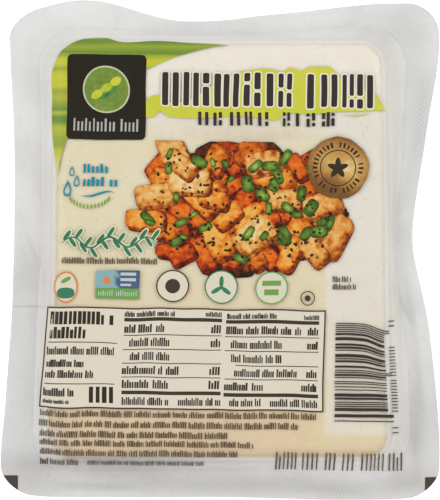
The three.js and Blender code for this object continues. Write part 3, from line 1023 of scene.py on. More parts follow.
def between(lower, upper, columns, rows):
    # the field between two smooth edges
    low, high = smoothPath(lower, columns), smoothPath(upper, columns)
    share = np.linspace(0, 1, rows)[:, None, None]
    return (low[None] * (1 - share) + high[None] * share)[None]


markForm = {"jitter": 0.06, "wordLength": (5, 15), "short": 0.74, "uneven": (0.85, 1.15)}


def markLine(draw, start, end, low, high, weight, pitch=0.27, tall=0.26):
    # stands in for a line of small type: upright ticks in word-like bunches, some tall, none a letter
    height = high - low
    count = max(int((end - start) / (height * pitch)), 2)
    place = start + (np.arange(count) + 0.5) * (end - start) / count
    place += draw.uniform(-markForm["jitter"], markForm["jitter"], count) * height * pitch
    wordEnds = np.cumsum(draw.integers(*markForm["wordLength"], count))
    kept = ~np.isin(np.arange(count), wordEnds)
    kept[[0, -1]] = True
    top = np.where(draw.random(count) < tall, 1.0, markForm["short"])
    half = height * weight / 2 * draw.uniform(*markForm["uneven"], count)
    boxes = np.stack((place - half, np.full(count, low), place + half, low + height * top), -1)
    return boxes[kept]


def markLines(draw, rows, **form):
    # the ticks of several lines, each from a to a and from b to b
    return bars(np.concatenate([markLine(draw, *row, **form) for row in rows]), 2.0)


inks = {
    "brown": (58, 48, 38), "panel": (32, 28, 19),
    "lime": (206, 206, 76), "limeDeep": (190, 190, 54), "halo": (221, 216, 199),
    "paleBox": (214, 205, 187), "badge": (208, 202, 180), "blue": (26, 130, 154),
    "teal": (60, 110, 80), "leaf": (128, 158, 66), "orange": (214, 124, 62),
    "navy": (62, 78, 118), "sky": (138, 178, 178), "green": (104, 152, 70),
    "pale": (200, 196, 128), "spring": (170, 176, 60), "grass": (148, 160, 58),
    "moss": (104, 138, 52),
}

draw = np.random.default_rng(5)

paleField = between([(-48.5, -43.7), (-10, -43.75), (28.7, -43.8)],
                    [(-47.5, -16.2), (-10, -16.2), (29.0, -16.2)], 140, 40)
printPiece("pale_fields", [(paleField, 0)], inkMaterial("paleGround", inks["paleBox"], (221, 212, 194)))

# the striped green field wraps the upper left corner
greenOuter = [(-45.4, 19.9), (-46.0, 25.5), (-46.7, 31.2), (-47.1, 42.1), (-47.2, 48.2), (-46.1, 51.3),
              (-44.8, 54.0), (-42.8, 55.8), (-39.8, 57.4), (-36.3, 58.2), (-32.1, 58.2), (-29.4, 57.3),
              (-18.9, 57.5), (-9.2, 57.1), (1.4, 56.6)]
greenInner = [(-45.4, 19.9), (-44.6, 24.0), (-42.6, 29.6), (-40.5, 34.0), (-37.8, 38.1), (-35.1, 40.9),
              (-31.0, 43.7), (-26.9, 46.5), (-21.0, 49.5), (-14.3, 52.6), (-8.0, 54.7), (-3.0, 56.0),
              (1.4, 56.5)]
greenHeights = [
    (20, "pale"), (22.5, "pale"), (25.5, "limeDeep"), (28, "grass"), (31, "grass"), (32.3, "spring"),
    (33.4, "spring"), (34.6, "moss"), (36.4, "moss"), (37.6, "spring"), (38.6, "moss"), (41.5, "spring"),
    (43.5, "grass"), (45, "limeDeep"), (48, "limeDeep"), (49.6, "grass"), (51, "limeDeep"),
    (52.5, "limeDeep"), (53.8, "moss"), (55.7, "grass"), (57.1, "moss"), (58, "moss"), (58.6, "pale"),
]
printPiece("green_field", [(between(greenInner, greenOuter, 150, 14), 0)],
           stripeMaterial("greenStripes", greenHeights, inks))

# the brushed lime stroke behind the heading
limeUpper = [(-21.4, 40.8), (-18.8, 42.4), (-16.6, 42.2), (-15.0, 40.8), (-11.7, 40.6), (-7.6, 42.0),
             (-4.8, 44.1), (-2.1, 45.8), (0.6, 47.4), (4.2, 49.3), (8.0, 49.7), (11.9, 50.1), (14.6, 49.8),
             (16.5, 49.4), (18.2, 50.6), (20.1, 50.2), (22.0, 49.9), (23.1, 50.7), (26.1, 51.1), (30.0, 50.6),
             (31.1, 49.2), (33.6, 47.3), (36.4, 45.4), (38.6, 44.4), (40.9, 44.2), (42.2, 43.5), (43.2, 42.0),
             (44.0, 40.6), (44.9, 39.3)]
limeLower = [(-21.4, 36.2), (-18.8, 36.6), (-17.4, 38.0), (-14.9, 36.7), (-11.1, 36.3), (-3.4, 36.6),
             (4.9, 37.0), (9.0, 36.7), (12.9, 36.2), (14.8, 35.9), (17.1, 37.8), (21.4, 38.1), (26.3, 38.0),
             (31.0, 38.4), (37.9, 38.9), (44.9, 39.2)]
printPiece("lime_stroke", [
    (between(limeLower, limeUpper, 130, 12), 0),
    (ribbon([(33.2, 37.7), (36.5, 37.6), (40.5, 38.3)], (0.1, 0.5, 0.1), 20), 0),
], inkMaterial("limeInk", inks["limeDeep"], inks["lime"], 1.0, 0.1))
print("scene: printed fields")

# the dark panel has a plain pod on a disc, and a row of thin ticks
panelForm = {"centre": (-31.9, 41.8), "half": (10.85, 11.75), "disc": (-32.0, 43.9), "discRadius": 6.1}
discA, discB = panelForm["disc"]
printPiece("dark_panel", [
    (starPatches(panelForm["centre"], boxRadii(*panelForm["half"], 26.0, 97), 14), 2),
], inkMaterial("panelInk", inks["panel"], (37, 33, 24)))
printPiece("panel_disc", [
    (starPatches((discA, discB), roundRadii(panelForm["discRadius"]), 5), 3, 0.45),
    (starPatches((discA, discB), roundRadii(panelForm["discRadius"] + 0.4), (0.93, 1)), 4, 0.95),
], toneMaterial("discInk", [(0.0, (62, 100, 48)), (0.5, (116, 140, 56)), (1.0, (190, 200, 160))], 0.16))
printPiece("panel_pod", [
    (starPatches([(discA - 2.5, discB - 1.5), (discA + 0.1, discB + 0.4), (discA + 2.6, discB + 2.3)],
                 np.repeat(leafRadii(3.5, 2.7, 0.6), 3, 0), 3), 5, np.array((0.9, 0.75, 1.0))),
    (ribbon([(discA - 4.0, discB - 2.6), (discA - 1.2, discB - 2.4), (discA + 1.8, discB - 0.3),
             (discA + 3.9, discB + 2.9)], (0.15, 1.0, 1.1, 0.15), 30), 4, 0.1),
], toneMaterial("podInk", [(0.0, (20, 120, 76)), (0.5, (140, 168, 46)), (1.0, (198, 200, 62))], 0.15))
printPiece("panel_marks", [
    (markLines(draw, [(-41.2, -22.8, 32.4, 35.9)], weight=0.14, pitch=0.3), 3),
], inkMaterial("panelMarkInk", (168, 167, 160)))

# the heading and the line under it stand as bold strokes: low and high a of each group, and how many strokes
headingForm = {"low": 39.5, "high": 49.0, "stroke": 1.8, "corner": 0.45, "halo": 0.4, "parted": 0.28,
               "gap": 0.9}
headingGroups = [(-16.6, -12.0, 2), (-10.7, -6.5, 2), (-5.4, -0.4, 2), (0.3, 4.5, 2), (5.9, 10.5, 2),
                 (12.2, 13.8, 1), (15.3, 19.1, 2), (22.7, 25.7, 1), (27.1, 31.5, 2), (32.9, 36.1, 2),
                 (37.0, 41.4, 2)]
secondForm = {"low": 34.35, "high": 38.35, "stroke": 0.9, "corner": 0.2, "parted": 0.35, "gap": 0.6}
secondGroups = [(-6.7, -3.9, 2), (-2.5, -0.1, 2), (2.1, 4.9, 2), (6.2, 8.2, 2), (9.8, 12.6, 2),
                (16.7, 18.7, 2), (20.3, 21.1, 1), (23.1, 25.5, 2), (27.4, 31.0, 3)]
widestStroke = {1: 2.0, 2: 0.37, 3: 0.25}  # by how many strokes a group has, as a share of its width
strokeEnds = {"ragged": 0.3, "partedAt": (0.3, 0.7)}


def strokeGroups(groups, form):
    # each group's strokes spread across it, as rounded uprights, about a third of them parted in two
    low, high, gap = form["low"], form["high"], form["gap"] / 2
    strokes = []
    for a0, a1, number in groups:
        half = min(form["stroke"], widestStroke[number] * (a1 - a0)) / 2
        for middle in np.linspace(a0 + half, a1 - half, number) if number > 1 else [(a0 + a1) / 2]:
            ends = [low + draw.uniform(0, strokeEnds["ragged"]), high - draw.uniform(0, strokeEnds["ragged"])]
            part = low + (high - low) * draw.uniform(*strokeEnds["partedAt"])
            if draw.random() < form["parted"]:
                ends = [ends[0], part - gap, part + gap, ends[1]]
            strokes += [(middle, b0, b1, half) for b0, b1 in zip(ends[::2], ends[1::2])]
    return np.array(strokes)


def uprights(strokes, corner, spread=0.0):
    # half width less corner * (1 - sqrt(1 - past^2)), past being how far a point lies into the rounded end
    middle, low, high, half = strokes.T[..., None]
    low, high, half = low - spread, high + spread, half + spread
    corner = np.minimum(corner + spread, half)
    along, reach = np.sin(np.linspace(-1, 1, 19) * math.pi / 2), (high - low) / 2
    past = np.clip((np.abs(along) * reach - reach + corner) / corner, 0, 1)
    width = half - corner * (1 - np.sqrt(1 - past ** 2))
    a = middle[..., None] + width[..., None] * np.array((-1, 0, 1))
    b = np.broadcast_to(((low + high) / 2 + along * reach)[..., None], a.shape)
    return np.stack((a, b), -1)


headingStrokes = strokeGroups(headingGroups, headingForm)
secondStrokes = strokeGroups(secondGroups, secondForm)
printPiece("heading_halo", [(uprights(headingStrokes, headingForm["corner"], headingForm["halo"]), 1)],
           inkMaterial("haloInk", inks["halo"]))
printPiece("heading_strokes", [(uprights(headingStrokes, headingForm["corner"]), 3)],
           inkMaterial("headingInk", (50, 42, 37)))
printPiece("second_line_strokes", [(uprights(secondStrokes, secondForm["corner"]), 3)],
           inkMaterial("secondLineInk", (48, 42, 36)))
print("scene: heading")

# the printed dish is a heap of roast vegetable pieces, lowest first
dishForm = {
    "outline": [(-16.5, 29.8), (-4, 30.0), (10, 30.1), (25.0, 30.2), (28.5, 24.5), (30.5, 15.5), (36.0, 10.5),
                (37.0, 6.5), (34.0, 1.5), (33.5, -4.0), (28.0, -6.8), (20.0, -6.2), (12.5, -5.4), (6.5, -8.6),
                (-1.5, -6.4), (-10.0, -5.2), (-17.0, -2.6), (-22.0, 2.0), (-25.2, 8.5), (-25.0, 14.5),
                (-22.8, 21.0), (-20.0, 27.5)],
    "centre": (6.0, 12.5), "top": 30.0, "topRoom": 0.8, "seed": 17,
    "spacing": 5.6, "rowShare": 0.86, "jitter": 1.5, "spanA": (-26, 40), "spanB": (-10, 32),
    "heapShare": (0.9, 0.92), "tilt": 1.2, "spokes": 33, "touch": 0.9,
    "shares": (0, 0.35, 0.62, 0.8, 0.91, 1.0), "profile": (0.95, 0.93, 0.88, 0.74, 0.5, 0.18),
    "light": 0.2, "lightFrom": 2.2, "dim": (0.64, 1.05), "cloud": 0.24, "cloudSize": 2.2,
    "rightShade": 0.25, "rightSpan": (20, 30), "topShade": 0.35, "topSpan": (23, 29),
    "side": (0.55, -1.0), "sideTone": 0.36, "groundShare": 0.78, "groundTone": 0.35,
    "toppingShare": 0.86, "toppingReach": (0.02, 0.9),
    "greens": 38, "greenSpread": 2.5, "greenSize": (1.3, 2.6), "greenSlim": (0.45, 0.7),
    "greenInks": [(0.0, (34, 54, 18)), (0.35, (78, 108, 34)), (0.7, (120, 150, 56)), (1.0, (168, 184, 96))],
    "greenTones": (1.0, 0.8, 0.5, 0.1), "greenDim": (0.45, 1.0),
    "specks": 260, "speckSpread": 3.0, "speckSize": (0.32, 0.58), "speckSlim": 0.62,
}
# kind of piece: share of the heap, half length, narrowness, squareness, and its tones from shade to light
dishKinds = {
    "dish_char": (0.2, (3.0, 4.6), (0.4, 0.75), (3.5, 6.0), [
        (0.0, (24, 12, 6)), (0.4, (56, 28, 10)), (0.7, (98, 42, 12)),
        (1.0, (150, 72, 20))]),
    "dish_red": (0.38, (3.2, 5.2), (0.5, 0.8), (4.0, 7.0), [
        (0.0, (46, 14, 5)), (0.3, (122, 36, 8)), (0.6, (192, 70, 12)),
        (1.0, (224, 116, 30))]),
    "dish_roast": (0.27, (4.2, 6.2), (0.46, 0.68), (4.5, 8.0), [
        (0.0, (70, 26, 7)), (0.25, (150, 62, 12)), (0.5, (206, 102, 20)),
        (0.75, (222, 138, 40)), (1.0, (230, 172, 80))]),
    "dish_pale": (0.15, (4.6, 6.4), (0.45, 0.66), (5.0, 9.0), [
        (0.0, (104, 46, 12)), (0.25, (184, 98, 30)), (0.5, (216, 150, 66)),
        (0.75, (224, 180, 108)), (1.0, (230, 202, 146))]),
}


def insideOutline(points, outline):
    # a point is inside where a level ray to its right crosses the outline an odd number of times
    nextPoint = np.roll(outline, -1, 0)
    a, b = points[:, 0, None], points[:, 1, None]
    spans = (outline[:, 1] > b) != (nextPoint[:, 1] > b)
    rise = np.where(spans, nextPoint[:, 1] - outline[:, 1], 1.0)
    crossing = outline[:, 0] + (b - outline[:, 1]) * (nextPoint[:, 0] - outline[:, 0]) / rise
    return (spans & (a < crossing)).sum(1) % 2 == 1


def stackLevels(centres, reaches, first):
    # each shape lies one level above the highest earlier shape that it touches
    levels = np.zeros(len(centres))
    for k in range(len(centres)):
        apart = np.hypot(*(centres[:k] - centres[k]).T)
        below = levels[:k][apart < reaches[:k] + reaches[k]]
        levels[k] = (below.max() if below.size else first) + 1
    return levels


def trimTop(centres, radii):
    # radii cut short where a shape would pass the picture's straight upper edge
    room = (dishForm["top"] - centres[:, 1])[:, None]
    rise = radii * np.sin(np.linspace(0, 2 * math.pi, radii.shape[1]))
    return np.where(rise > room, radii * room / np.maximum(rise, 1e-6), radii)


def heapSpots(outline):
    # a jittered triangular grid inside the outline drawn in towards its middle, in random order
    spacing, jitter, centre = dishForm["spacing"], dishForm["jitter"], np.array(dishForm["centre"])
    gridA, gridB = np.meshgrid(np.arange(*dishForm["spanA"], spacing),
                               np.arange(*dishForm["spanB"], spacing * dishForm["rowShare"]), indexing="ij")
    gridA = gridA + (np.arange(gridB.shape[1]) % 2)[None, :] * spacing / 2
    spots = np.stack((gridA.ravel(), gridB.ravel()), -1)
    spots += heapDraw.uniform(-jitter, jitter, spots.shape)
    spots = spots[insideOutline(spots, centre + (outline - centre) * dishForm["heapShare"])]
    return spots[heapDraw.permutation(len(spots))]


def scatter(outline, number, spread):
    # random places between the middle and the outline
    centre = np.array(dishForm["centre"])
    ends = outline[heapDraw.integers(0, len(outline), number)]
    spots = centre + (ends - centre) * np.sqrt(heapDraw.uniform(*dishForm["toppingReach"], (number, 1)))
    spots += heapDraw.uniform(-spread, spread, spots.shape)
    return spots[insideOutline(spots, outline) & (spots[:, 1] < dishForm["top"] - dishForm["topRoom"])]


def dishGround(outline):
    # a dark ground below the heap: the outline drawn in towards its middle
    middle = np.array(dishForm["centre"])
    way = outline - middle
    bearing = np.mod(np.arctan2(way[:, 1], way[:, 0]), 2 * math.pi)
    reach = np.interp(np.linspace(0, 2 * math.pi, 121), bearing, np.hypot(*way.T), period=2 * math.pi)
    return starPatches(middle, dishForm["groundShare"] * reach[None], 14), 0, dishForm["groundTone"]


def makeDish():
    # radial profile + light from the upper left * share + soft noise gives each piece its tone, which is then
    # shaded towards the right and the top. Gives the first level above the dish
    outline = np.array(dishForm["outline"])
    spots = heapSpots(outline)
    count, spokes = len(spots), dishForm["spokes"]
    shares, profile = np.array(dishForm["shares"]), np.array(dishForm["profile"])
    ends = np.cumsum([0] + [round(count * kind[0]) for kind in dishKinds.values()])
    ends[-1] = count
    halfA, narrow, power = np.zeros(count), np.zeros(count), np.zeros(count)
    for (_, size, slim, square, _), low, high in zip(dishKinds.values(), ends[:-1], ends[1:]):
        for values, limits in ((halfA, size), (narrow, slim), (power, square)):
            values[low:high] = heapDraw.uniform(*limits, high - low)
    tilt = heapDraw.uniform(-dishForm["tilt"], dishForm["tilt"], count)
    radii = trimTop(spots, boxRadii(halfA, halfA * narrow, power, spokes, tilt))
    levels = stackLevels(spots, halfA * dishForm["touch"], 1)
    patches = starPatches(spots, radii, shares)
    a, b = patches[..., 0], patches[..., 1]
    angle = np.linspace(0, 2 * math.pi, spokes)
    light = dishForm["light"] * shares[None, :, None] * np.cos(angle - dishForm["lightFrom"])[None, None, :]
    tone = (profile[None, :, None] + light) * heapDraw.uniform(*dishForm["dim"], count)[:, None, None]
    tone = np.clip(tone + dishForm["cloud"] * softNoise(a, b, dishForm["cloudSize"], 18), 0, 1)
    tone *= ((1 - dishForm["rightShade"] * smoothStep(*dishForm["rightSpan"], a))
             * (1 - dishForm["topShade"] * smoothStep(*dishForm["topSpan"], b)))
    for (name, kind), low, high in zip(dishKinds.items(), ends[:-1], ends[1:]):
        shapes, level, shade = patches[low:high], levels[low:high], tone[low:high]
        batches = [(shapes + dishForm["side"], level - 0.5, dishForm["sideTone"] * shade),
                   (shapes, level, shade)]
        if low == 0:
            batches.append(dishGround(outline))
        printPiece(name, batches, toneMaterial(name + "_ink", kind[4], 0.3))
    inner = np.array(dishForm["centre"]) + dishForm["toppingShare"] * (outline - dishForm["centre"])
    greens = scatter(inner, dishForm["greens"], dishForm["greenSpread"])
    number = len(greens)
    size = heapDraw.uniform(*dishForm["greenSize"], number)
    slim = size * heapDraw.uniform(*dishForm["greenSlim"], number)
    greenRadii = boxRadii(size, slim, 3.6, 29, heapDraw.uniform(0, math.pi, number))
    greenLevels = stackLevels(greens, greenRadii.max(1), levels.max())
    greenTone = np.array(dishForm["greenTones"])[None, :, None]
    greenTone = greenTone * heapDraw.uniform(*dishForm["greenDim"], (number, 1, 1))
    printPiece("dish_greens", [(starPatches(greens, greenRadii, 3), greenLevels, greenTone)],
               toneMaterial("dishGreenInk", dishForm["greenInks"], 0.25))
    specks = scatter(inner, dishForm["specks"], dishForm["speckSpread"])
    size = heapDraw.uniform(*dishForm["speckSize"], len(specks))
    speckTurn = heapDraw.uniform(0, math.pi, len(specks))
    speckRadii = boxRadii(size, size * dishForm["speckSlim"], 2.0, 13, speckTurn)
    printPiece("dish_specks", [(starPatches(specks, speckRadii, 1), greenLevels.max() + 1)],
               inkMaterial("speckInk", (48, 28, 18)))
    return greenLevels.max() + 2


heapDraw = np.random.default_rng(dishForm["seed"])
over = makeDish()
# a faint pinkish band above the dish, thinning towards its ends and its top
pinkBandFade = np.array((0.1, 0.13, 0.11, 0.06, 0.0))[:, None] * np.sin(np.linspace(0, math.pi, 40)) ** 0.8
pinkBandField = between([(-12, 30.3), (8, 30.4), (27, 30.5)], [(-12, 34.6), (8, 34.7), (27, 34.8)], 40, 5)
printPiece("dish_pink_band", [(pinkBandField, 0, pinkBandFade[None])],
           toneMaterial("pinkBandInk", [(0.0, (244, 192, 180)), (1.0, (240, 182, 170))], 0.02, fade=True))
print("scene: printed dish")


def ring(centre, radius, width):
    # a band of the given width centred on the radius
    inner, outer = radius - width / 2, radius + width / 2
    return starPatches(centre, roundRadii(outer), (inner / outer, 1))


def disc(centre, radius, rings=4):
    # a filled circle
    return starPatches(centre, roundRadii(radius), rings)


# a gold medal with a star in a ring of ticks
medalForm = {
    "centre": (32.0, 23.1), "radius": 8.5, "wobble": 0.16, "inner": 4.8, "ringWidth": 0.28, "ticks": 34,
    "tickReach": (5.6, 7.1), "tickHalf": 0.055, "missing": 0.12, "tickWidths": (0.6, 1.0),
    "tickLengths": (0.8, 1.0), "rim": (0.2, 0.15, 0.1, 0.0, -0.1, -0.25, -0.5), "star": 3.1,
    "tones": [(0.0, (116, 78, 38)), (0.35, (166, 120, 62)), (0.7, (198, 156, 88)), (1.0, (226, 198, 136))],
}
medalA, medalB = medalForm["centre"]
medalAngle = np.linspace(0, 2 * math.pi, 57)
# its sheen rises and falls round it, once and twice
medalSheen = (0.5 + 0.25 * np.cos(medalAngle - 0.9) + 0.22 * np.cos(2 * medalAngle + 0.6))[None, None, :]
medalRim = np.array(medalForm["rim"])[None, :, None]
medalRadii = medalForm["wobble"] * np.sin(medalAngle * 9) * np.sin(medalAngle * 4 + 1)
medalRadii = roundRadii(medalForm["radius"]) + medalRadii
printPiece("medal_disc", [
    (starPatches((medalA, medalB), medalRadii, 6), over, np.clip(medalSheen + medalRim, 0, 1)),
], toneMaterial("medalInk", medalForm["tones"], 0.16))
starAngle = np.linspace(0, 2 * math.pi, 51)
starPoint = np.abs(np.mod((starAngle - math.pi / 2) / (2 * math.pi / 5), 1.0) * 2 - 1)
tickAngle = np.linspace(0, 2 * math.pi, medalForm["ticks"], endpoint=False)
tickAngle = tickAngle[draw.random(len(tickAngle)) > medalForm["missing"]]
tickHalf = medalForm["tickHalf"]
tickCorner = np.array(((-tickHalf, 0.0), (tickHalf, 0.0), (-tickHalf, 1.0), (tickHalf, 1.0)))
tickLow, tickHigh = medalForm["tickReach"]
tickWidth = draw.uniform(*medalForm["tickWidths"], (len(tickAngle), 1))
tickLength = draw.uniform(*medalForm["tickLengths"], (len(tickAngle), 1))
tickTurn = tickAngle[:, None] + tickCorner[:, 0] * tickWidth
tickReach = tickLow + (tickHigh - tickLow) * tickCorner[:, 1] * tickLength
tickPatches = np.stack((medalA + tickReach * np.cos(tickTurn), medalB + tickReach * np.sin(tickTurn)), -1)
printPiece("medal_marks", [
    (tickPatches.reshape(-1, 2, 2, 2), over + 1),
    (ring((medalA, medalB), medalForm["inner"], medalForm["ringWidth"]), over + 1),
    (starPatches((medalA, medalB), (medalForm["star"] * (0.42 + 0.58 * starPoint ** 1.2))[None], 3),
     over + 1),
], inkMaterial("medalMarkInk", (52, 38, 26)))


def dropRing(centre, height, width, inner=0.62, samples=41):
    # a drop's outline, x = width * 0.62 sin t sin(t / 2)^1.4 and y = height / 2 cos t, and a smaller copy
    t = np.linspace(0, 2 * math.pi, samples)
    shape = np.stack((width * 0.62 * np.sin(t) * np.abs(np.sin(t / 2)) ** 1.4, height / 2 * np.cos(t)), -1)
    low = np.array((0, -height * 0.16))
    return (np.array(centre) + np.stack((shape, low + (shape - low) * inner)))[None]


drops = [((-42.3, 16.6), 4.6, 2.6), ((-41.3, 21.4), 2.9, 1.7), ((-39.9, 18.7), 3.3, 1.9)]
printPiece("water_drops", [(dropRing(*drop), 2) for drop in drops], inkMaterial("dropInk", inks["blue"]))
blueRows = [(-38.4, -31.2, 20.9, 23.4), (-38.4, -28.6, 17.2, 19.8)]
blueWave = [(-38.3, 14.5), (-35.5, 14.5), (-33.3, 15.2), (-31.1, 15.8), (-29.5, 15.6)]
printPiece("blue_marks", [
    (markLines(draw, blueRows, weight=0.29, pitch=0.42), 2),
    (ribbon(blueWave, (0.1, 0.6, 0.6, 0.1)), 2),
], inkMaterial("blueInk", inks["blue"]))
# upright dashes along the lower part of an oval
dashForm = {"centre": (-36.1, 15.6), "reach": (5.9, 4.1), "turns": (205, 335), "count": 14,
            "half": (0.22, 0.6)}
dashTurn = np.linspace(*np.radians(dashForm["turns"]), dashForm["count"])
dashMiddle = np.stack((np.cos(dashTurn), np.sin(dashTurn)), -1) * dashForm["reach"] + dashForm["centre"]
dashBoxes = np.concatenate((dashMiddle - dashForm["half"], dashMiddle + dashForm["half"]), 1)
printPiece("green_dashes", [(bars(dashBoxes), 2)], inkMaterial("dashInk", inks["leaf"]))

# a wavy vine with small leaves on a pale surround
vineForm = {
    "left": -43.6, "right": -17.6, "height": 1.9, "wave": 1.5, "halfWaves": 5, "climb": 0.02,
    "climbFrom": -30, "leaves": 17, "samples": 90, "leafSpan": (3, 86), "leafShift": 0.5, "leafOff": 1.35,
    "leafTilt": 0.95, "leafSize": (3.4, 1.25), "haloSize": (4.2, 2.1),
}
vineA = np.linspace(vineForm["left"], vineForm["right"], 23)
vineShare = (vineA - vineForm["left"]) / (vineForm["right"] - vineForm["left"])
vineB = vineForm["height"] + vineForm["wave"] * np.sin(vineShare * vineForm["halfWaves"] * math.pi)
vineB += vineForm["climb"] * (vineA - vineForm["climbFrom"])
vinePath = np.stack((vineA, vineB), -1)
leafSide = np.where(np.arange(vineForm["leaves"]) % 2 == 0, 1.0, -1.0)
leafPlaces = np.linspace(*vineForm["leafSpan"], vineForm["leaves"]).astype(int)
leafCentres = smoothPath(vinePath, vineForm["samples"])[leafPlaces]
leafShift = np.full(vineForm["leaves"], vineForm["leafShift"])
leafCentres = leafCentres + np.stack((leafShift, leafSide * vineForm["leafOff"]), -1)
vineLeaves, vineHalos = (
    np.concatenate([leafRadii(*size, side * vineForm["leafTilt"], 25) for side in leafSide])
    for size in (vineForm["leafSize"], vineForm["haloSize"]))
printPiece("vine_halo", [
    (ribbon(vinePath, (0.9, 1.5, 0.9), 120), over),
    (starPatches(leafCentres, vineHalos, 2), over),
], inkMaterial("vineHaloInk", (206, 212, 182)))
printPiece("vine", [
    (ribbon(vinePath, (0.25, 0.62, 0.25), 120), over + 1),
    (starPatches(leafCentres, vineLeaves, 2), over + 1),
], inkMaterial("vineInk", inks["teal"]))

# the row of badges, each with a plain design
badgeAt = {"oval": (-42.4, -10.6), "first": (-13.0, -9.9), "second": (0.4, -10.0), "third": (14.2, -10.2),
           "small": (24.2, -12.7)}
printPiece("badge_grounds", [
    *((disc(badgeAt[name], 4.3), over) for name in ("first", "second", "third")),
    (starPatches(badgeAt["oval"], boxRadii(3.1, 4.1, 2.0), 4), 1),
], inkMaterial("badgeGroundInk", inks["badge"]))
printPiece("badge_orange", [
    (starPatches(badgeAt["oval"], boxRadii(3.3, 4.3, 2.0), (0.9, 1)), 2),
    (disc((-31.2, -8.6), 1.0, 3), over + 2),
], inkMaterial("badgeOrangeInk", inks["orange"]))
badgeEdge = (4.35, 0.32)  # radius and width
badgeLeaves = np.concatenate([leafRadii(3.2, 1.4, tilt) for tilt in (math.pi / 2, 0.6, -0.6)])
printPiece("badge_teal", [
    (ring(badgeAt["second"], *badgeEdge), over + 1),
    (starPatches([(0.4, -8.6), (-0.9, -10.9), (1.7, -10.9)], badgeLeaves, 2), over + 1),
    (starPatches((-42.4, -12.2), boxRadii(2.5, 1.5, 2.4), 3), 2),
], inkMaterial("badgeTealInk", (52, 118, 84)))
printPiece("badge_green", [
    (ring(badgeAt["third"], *badgeEdge), over + 1),
    (bars([(11.6, -9.6, 16.8, -8.2), (12.2, -12.2, 16.2, -10.6), (-34.15, -13.6, -22.1, -10.75)]), over + 1),
    (starPatches((-42.4, -8.6), leafRadii(3.0, 1.4, 0.5), 2), 2),
], inkMaterial("badgeGreenInk", inks["green"]))
printPiece("badge_dark", [
    (ring(badgeAt["first"], 4.3, 0.36), over + 1), (disc(badgeAt["first"], 2.0), over + 1),
    (ring(badgeAt["small"], 1.85, 0.28), over + 1), (disc(badgeAt["small"], 0.8, 2), over + 1),
], inkMaterial("badgeDarkInk", (66, 50, 38)))
printPiece("badge_card", [
    (bars([(-34.15, -10.7, -28.3, -5.9)]), over + 1, 0.9),
    (bars([(-28.3, -10.7, -22.1, -5.9)]), over + 1, 0.1),
], toneMaterial("cardInk", [(0.0, inks["navy"]), (1.0, inks["sky"])], 0.05))
printPiece("badge_card_marks", [
    (bars([(-27.4, -7.3, -23.1, -6.5), (-27.4, -8.8, -23.1, -8.0), (-27.4, -10.1, -24.4, -9.5)]), over + 2),
    (markLines(draw, [(-33.6, -22.7, -12.8, -11.3)], weight=0.16, pitch=0.4), over + 2),
], inkMaterial("cardMarkInk", (184, 192, 190)))
print("scene: badges")


def rule(a0, a1, b, width=0.24):
    # a level line from a0 to a1 at height b, as a box
    return (a0, b - width / 2, a1, b + width / 2)


# the ruled table: its rules and frame, then lines of marks as (from a, to a, from b, to b)
tableRules = [rule(-46.8, -27.8, -25.8), rule(-47.2, -27.9, -37.2)]
tableRules += [rule(-26.1, 0.8, b) for b in (-23.5, -27.4, -31.2, -35.1)]
tableRules += [rule(a0, 27.5, b) for a0, b in ((1.8, -23.7), (1.8, -27.6), (4.7, -31.6), (1.9, -35.4))]
tableRules += [rule(a0, a1, b, 1.0) for a0, a1, b in
               ((-26.1, 0.7, -19.2), (-26, 1, -39.4), (1.8, 27.4, -19.5), (1.8, 27.6, -39.7))]
tableFrame = [((-47.4, -16.2), (-10, -16.2), (29.0, -16.2)), ((-48.3, -43.7), (-10, -43.75), (28.8, -43.8)),
              ((-47.4, -16.0), (-47.8, -30), (-48.3, -43.9)), ((29.0, -16.0), (28.9, -30), (28.8, -44.0))]
printPiece("table_rules",
           [(bars(tableRules), 1)] + [(ribbon(side, (0.38, 0.38), 70), 1) for side in tableFrame],
           inkMaterial("tableInk", inks["brown"]))

boldRows = [(-46.6, -29.0, -20.9, -17.3), (-46.6, -36.4, -24.8, -21.6), (-35.1, -27.9, -42.4, -38.0)]
firmRows = [
    (-47.0, -36.6, -32.6, -30.6), (-47.2, -33.8, -35.6, -33.5), (-47.5, -38.9, -40.6, -38.4),
    (-26.1, -12.3, -18.4, -16.9), (-3.8, 0.6, -18.3, -16.9), (2.0, 15.8, -18.7, -17.2),
    (23.2, 27.4, -18.7, -17.4), (-26.0, -18.4, -22.8, -20.5), (-26.1, -15.0, -34.3, -32.0),
    (-26.0, -18.6, -38.2, -35.9), (1.9, 20.0, -23.0, -20.8), (1.8, 8.4, -38.5, -36.3),
    (-2.2, 0.6, -22.8, -20.5), (-2.2, 0.6, -26.6, -24.3), (-2.4, 0.6, -34.3, -32.0),
    (-2.4, 0.6, -38.2, -35.9), (24.2, 27.2, -23.0, -20.8), (24.2, 27.2, -26.9, -24.7),
    (24.2, 27.2, -34.7, -32.5), (23.0, 27.2, -38.5, -36.3),
]
plainRows = [
    (-47.1, -28.4, -29.2, -27.0), (-47.5, -40.3, -42.6, -41.5), (-17.4, -15.0, -22.8, -20.5),
    (-24.5, -13.3, -26.6, -24.3), (-24.2, -13.2, -30.4, -28.2), (-14.2, -10.7, -34.3, -32.0),
    (-17.6, -13.4, -38.2, -35.9), (20.8, 22.6, -23.0, -20.8), (3.4, 17.5, -26.9, -24.7),
    (3.4, 17.3, -30.8, -28.6), (4.3, 21.6, -34.7, -32.5), (9.4, 12.7, -38.5, -36.3),
    (-26.0, -13.2, -42.8, -40.7), (-10.6, 1.0, -42.8, -40.7), (3.4, 12.0, -42.8, -40.7),
    (14.4, 27.4, -42.9, -40.8),
]
